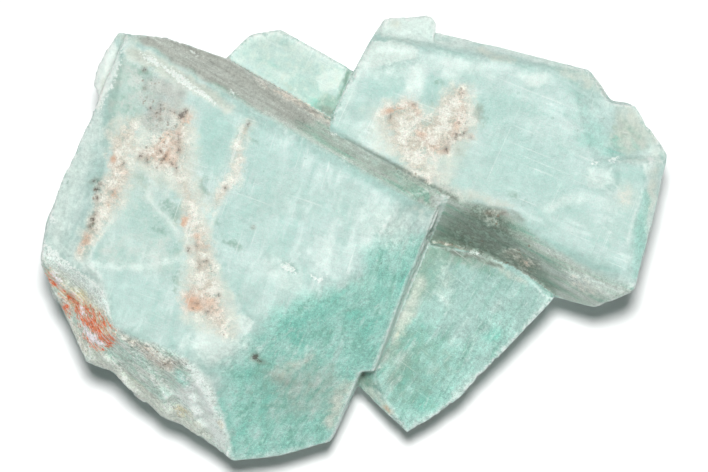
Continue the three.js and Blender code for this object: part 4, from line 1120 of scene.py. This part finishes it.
def grain_and_painted_light(n, tone):
    """Lighter and darker grain, coarse in the veins and on the broken faces, and painted light that lightens
    strongly sloping faces and the fracture face.
    """
    coarse = n.math("MINIMUM", n.vein + n.specks + (n.broken + n.wall) * 0.7, 1)
    # painted light: strongly sloping faces and the fracture face are made lighter, where the lamp reaches
    # them less
    shade = n.attribute("painted_light_on_steep") * 0.18 + n.broken * 0.12 + 1
    for texture, everywhere, in_coarse, on_grained in (
            (n.mottle, 0.34, 0.1, 0.2), (n.fleck, 0.28, 0.15, 0.08), (n.grain, 0.24, 0.3, 0.22),
            (n.sand, 0.28, 0.4, 0.4), (n.dust, 0.24, 0.5, 0.55), (n.thread, 0.04, 0, 0.36),
            (n.hatch, 0.16, 0, 0.1)):
        shade = shade + (texture - 0.5) * (coarse * in_coarse + n.grained * on_grained + everywhere)
    shade = shade + (n.grain + n.sand - 1) * n.broken * 0.35
    return n.add("ShaderNodeVectorMath", {0: tone, "Scale": shade}, operation="SCALE").outputs[0]


def bruises_and_highlights(n, tone):
    """Fine scratches, bright splinters on the fracture, flakes and edges knocked white, and painted
    highlights along sharp edges.
    """
    faint = n.ramp(n.cloud, 0.42, 0.6)
    tone = n.mix(n.ramp(n.scratch, 0.66, 0.76) * faint * 0.3, tone, WHITE)
    tone = n.mix(n.ramp(n.cut, 0.67, 0.76) * (1 - faint) * 0.25, tone, WHITE)
    tone = n.mix(n.ramp(n.splinter, 0.52, 0.64) * n.broken * 0.6, tone, WHITE)
    tone = n.mix(n.ramp(n.splinter, 0.46, 0.36) * n.broken * 0.15, tone, MOSS)
    chips = n.ramp(n.wobble(n.wobble(n.attribute("chips"), n.grain, 0.2), n.sand, 0.1), -0.15, 0.2)
    tone = n.mix(chips * 0.8, tone, n.either(n.sand, 0.36, 0.6, MIST, WHITE))
    # painted highlights along sharp edges and on the walls below them
    tone = n.mix(n.attribute("painted_highlights") * (n.ramp(n.grain, 0.4, 0.6) * 0.4 + 0.6), tone, WHITE)
    return n.mix(n.attribute("worn") * n.ramp(n.grain, 0.36, 0.58) * 0.45, tone, WHITE)


def stone_material():
    n = StoneNodes()
    tone = body_colour(n)
    for layer in (perthite, zones, veins, rust_flecks, dark_specks, grain_and_painted_light, bruises_and_highlights):
        tone = layer(n, tone)
    rough = n.broken + n.wall
    height = n.mottle * 0.6 + n.grain * 0.4 + n.thread * (rough * 0.5 + 0.15)
    bump = n.add("ShaderNodeBump", {"Strength": 0.5, "Distance": 0.15 * MM, "Height": height})
    return n.finish(
        Base_Color=tone, Normal=bump.outputs[0], IOR=1.53, Specular_IOR_Level=0.35,
        Roughness=n.ramp(n.grain, 0.35, 0.65) * 0.12 + rough * 0.12 + n.vein * 0.08 + 0.44,
        Subsurface_Weight=0.4, Subsurface_Radius=(0.9, 1.2, 1.1), Subsurface_Scale=1.2 * MM)


def table_material():
    white = (0.96, 0.96, 0.96, 1)
    return Nodes("white_table").finish(Base_Color=white, Roughness=0.9, Specular_IOR_Level=0.1)


# ---------------------------------------------------------------- the stone as an object

def dress_stone():
    """Puts the stone in its place in the frame, with its painted layers and its material."""
    mesh = stone.mesh
    stone.points = (stone.points + [SHEET_X, SHEET_Y, 0]) * MM
    stone.store()
    # depths are in millimetres, and 3 of them are enough
    for name, values in paint_layers.items():
        layer = mesh.attributes.new(name, "FLOAT", "POINT")
        layer.data.foreach_set("value", np.clip(values, -3, 3).astype(np.float32))
    for name, values in (("fibre", regions.fibre), ("cross", regions.cross)):
        layer = mesh.attributes.new(name, "FLOAT_VECTOR", "POINT")
        layer.data.foreach_set("vector", values.astype(np.float32).ravel())
    mesh.polygons.foreach_set("use_smooth", np.ones(len(mesh.polygons), bool))
    mesh.materials.clear()
    mesh.materials.append(stone_material())
    piece = new_object("amazonite_stone", mesh)
    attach(piece, "root")
    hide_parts(NODE)


# ---------------------------------------------------------------- table, light and camera, in metres

def make_table():
    radius, sides = 6, 96
    turns = [math.tau * i / sides for i in range(sides)]
    mesh = bpy.data.meshes.new("table")
    mesh.from_pydata([(radius * math.cos(a), radius * math.sin(a), 0) for a in turns], [], [range(sides)])
    mesh.materials.append(table_material())
    new_object("table", mesh)


def make_light(name, place, size, power):
    """A round lamp that shines towards the origin."""
    data = bpy.data.lights.new(name, "AREA")
    data.shape = "DISK"
    data.size = size
    data.energy = power
    light = new_object(name, data)
    light.location = place
    light.rotation_euler = (-Vector(place)).to_track_quat("-Z", "Y").to_euler()


def make_room():
    world = bpy.data.worlds.new("room")
    world.use_nodes = True
    world.node_tree.nodes["Background"].inputs["Color"].default_value = (1, 1, 1, 1)
    world.node_tree.nodes["Background"].inputs["Strength"].default_value = 0.02
    bpy.context.scene.world = world
    bpy.context.scene.view_settings.view_transform = "Standard"


def make_camera():
    """A long lens straight above the stone. At the height of its main faces a pixel is 0.13 mm wide."""
    picture_width, face_height = 708 * 0.13 * MM, 25 * MM
    centre_x, centre_y = 0.002 * MM, 0.174 * MM
    data = bpy.data.cameras.new("camera")
    data.sensor_width = 36
    data.lens = 600
    data.clip_start, data.clip_end = 0.05, 30
    camera = new_object("camera", data)
    camera.location = (centre_x, centre_y, face_height + picture_width * data.lens / data.sensor_width)
    bpy.context.scene.camera = camera


dress_stone()
make_table()
make_light("key", place=(-0.005, 0.2, 1.9), size=0.2, power=38.5)
make_light("side", place=(1.5, -0.3, 0.45), size=0.6, power=3)
make_room()
make_camera()
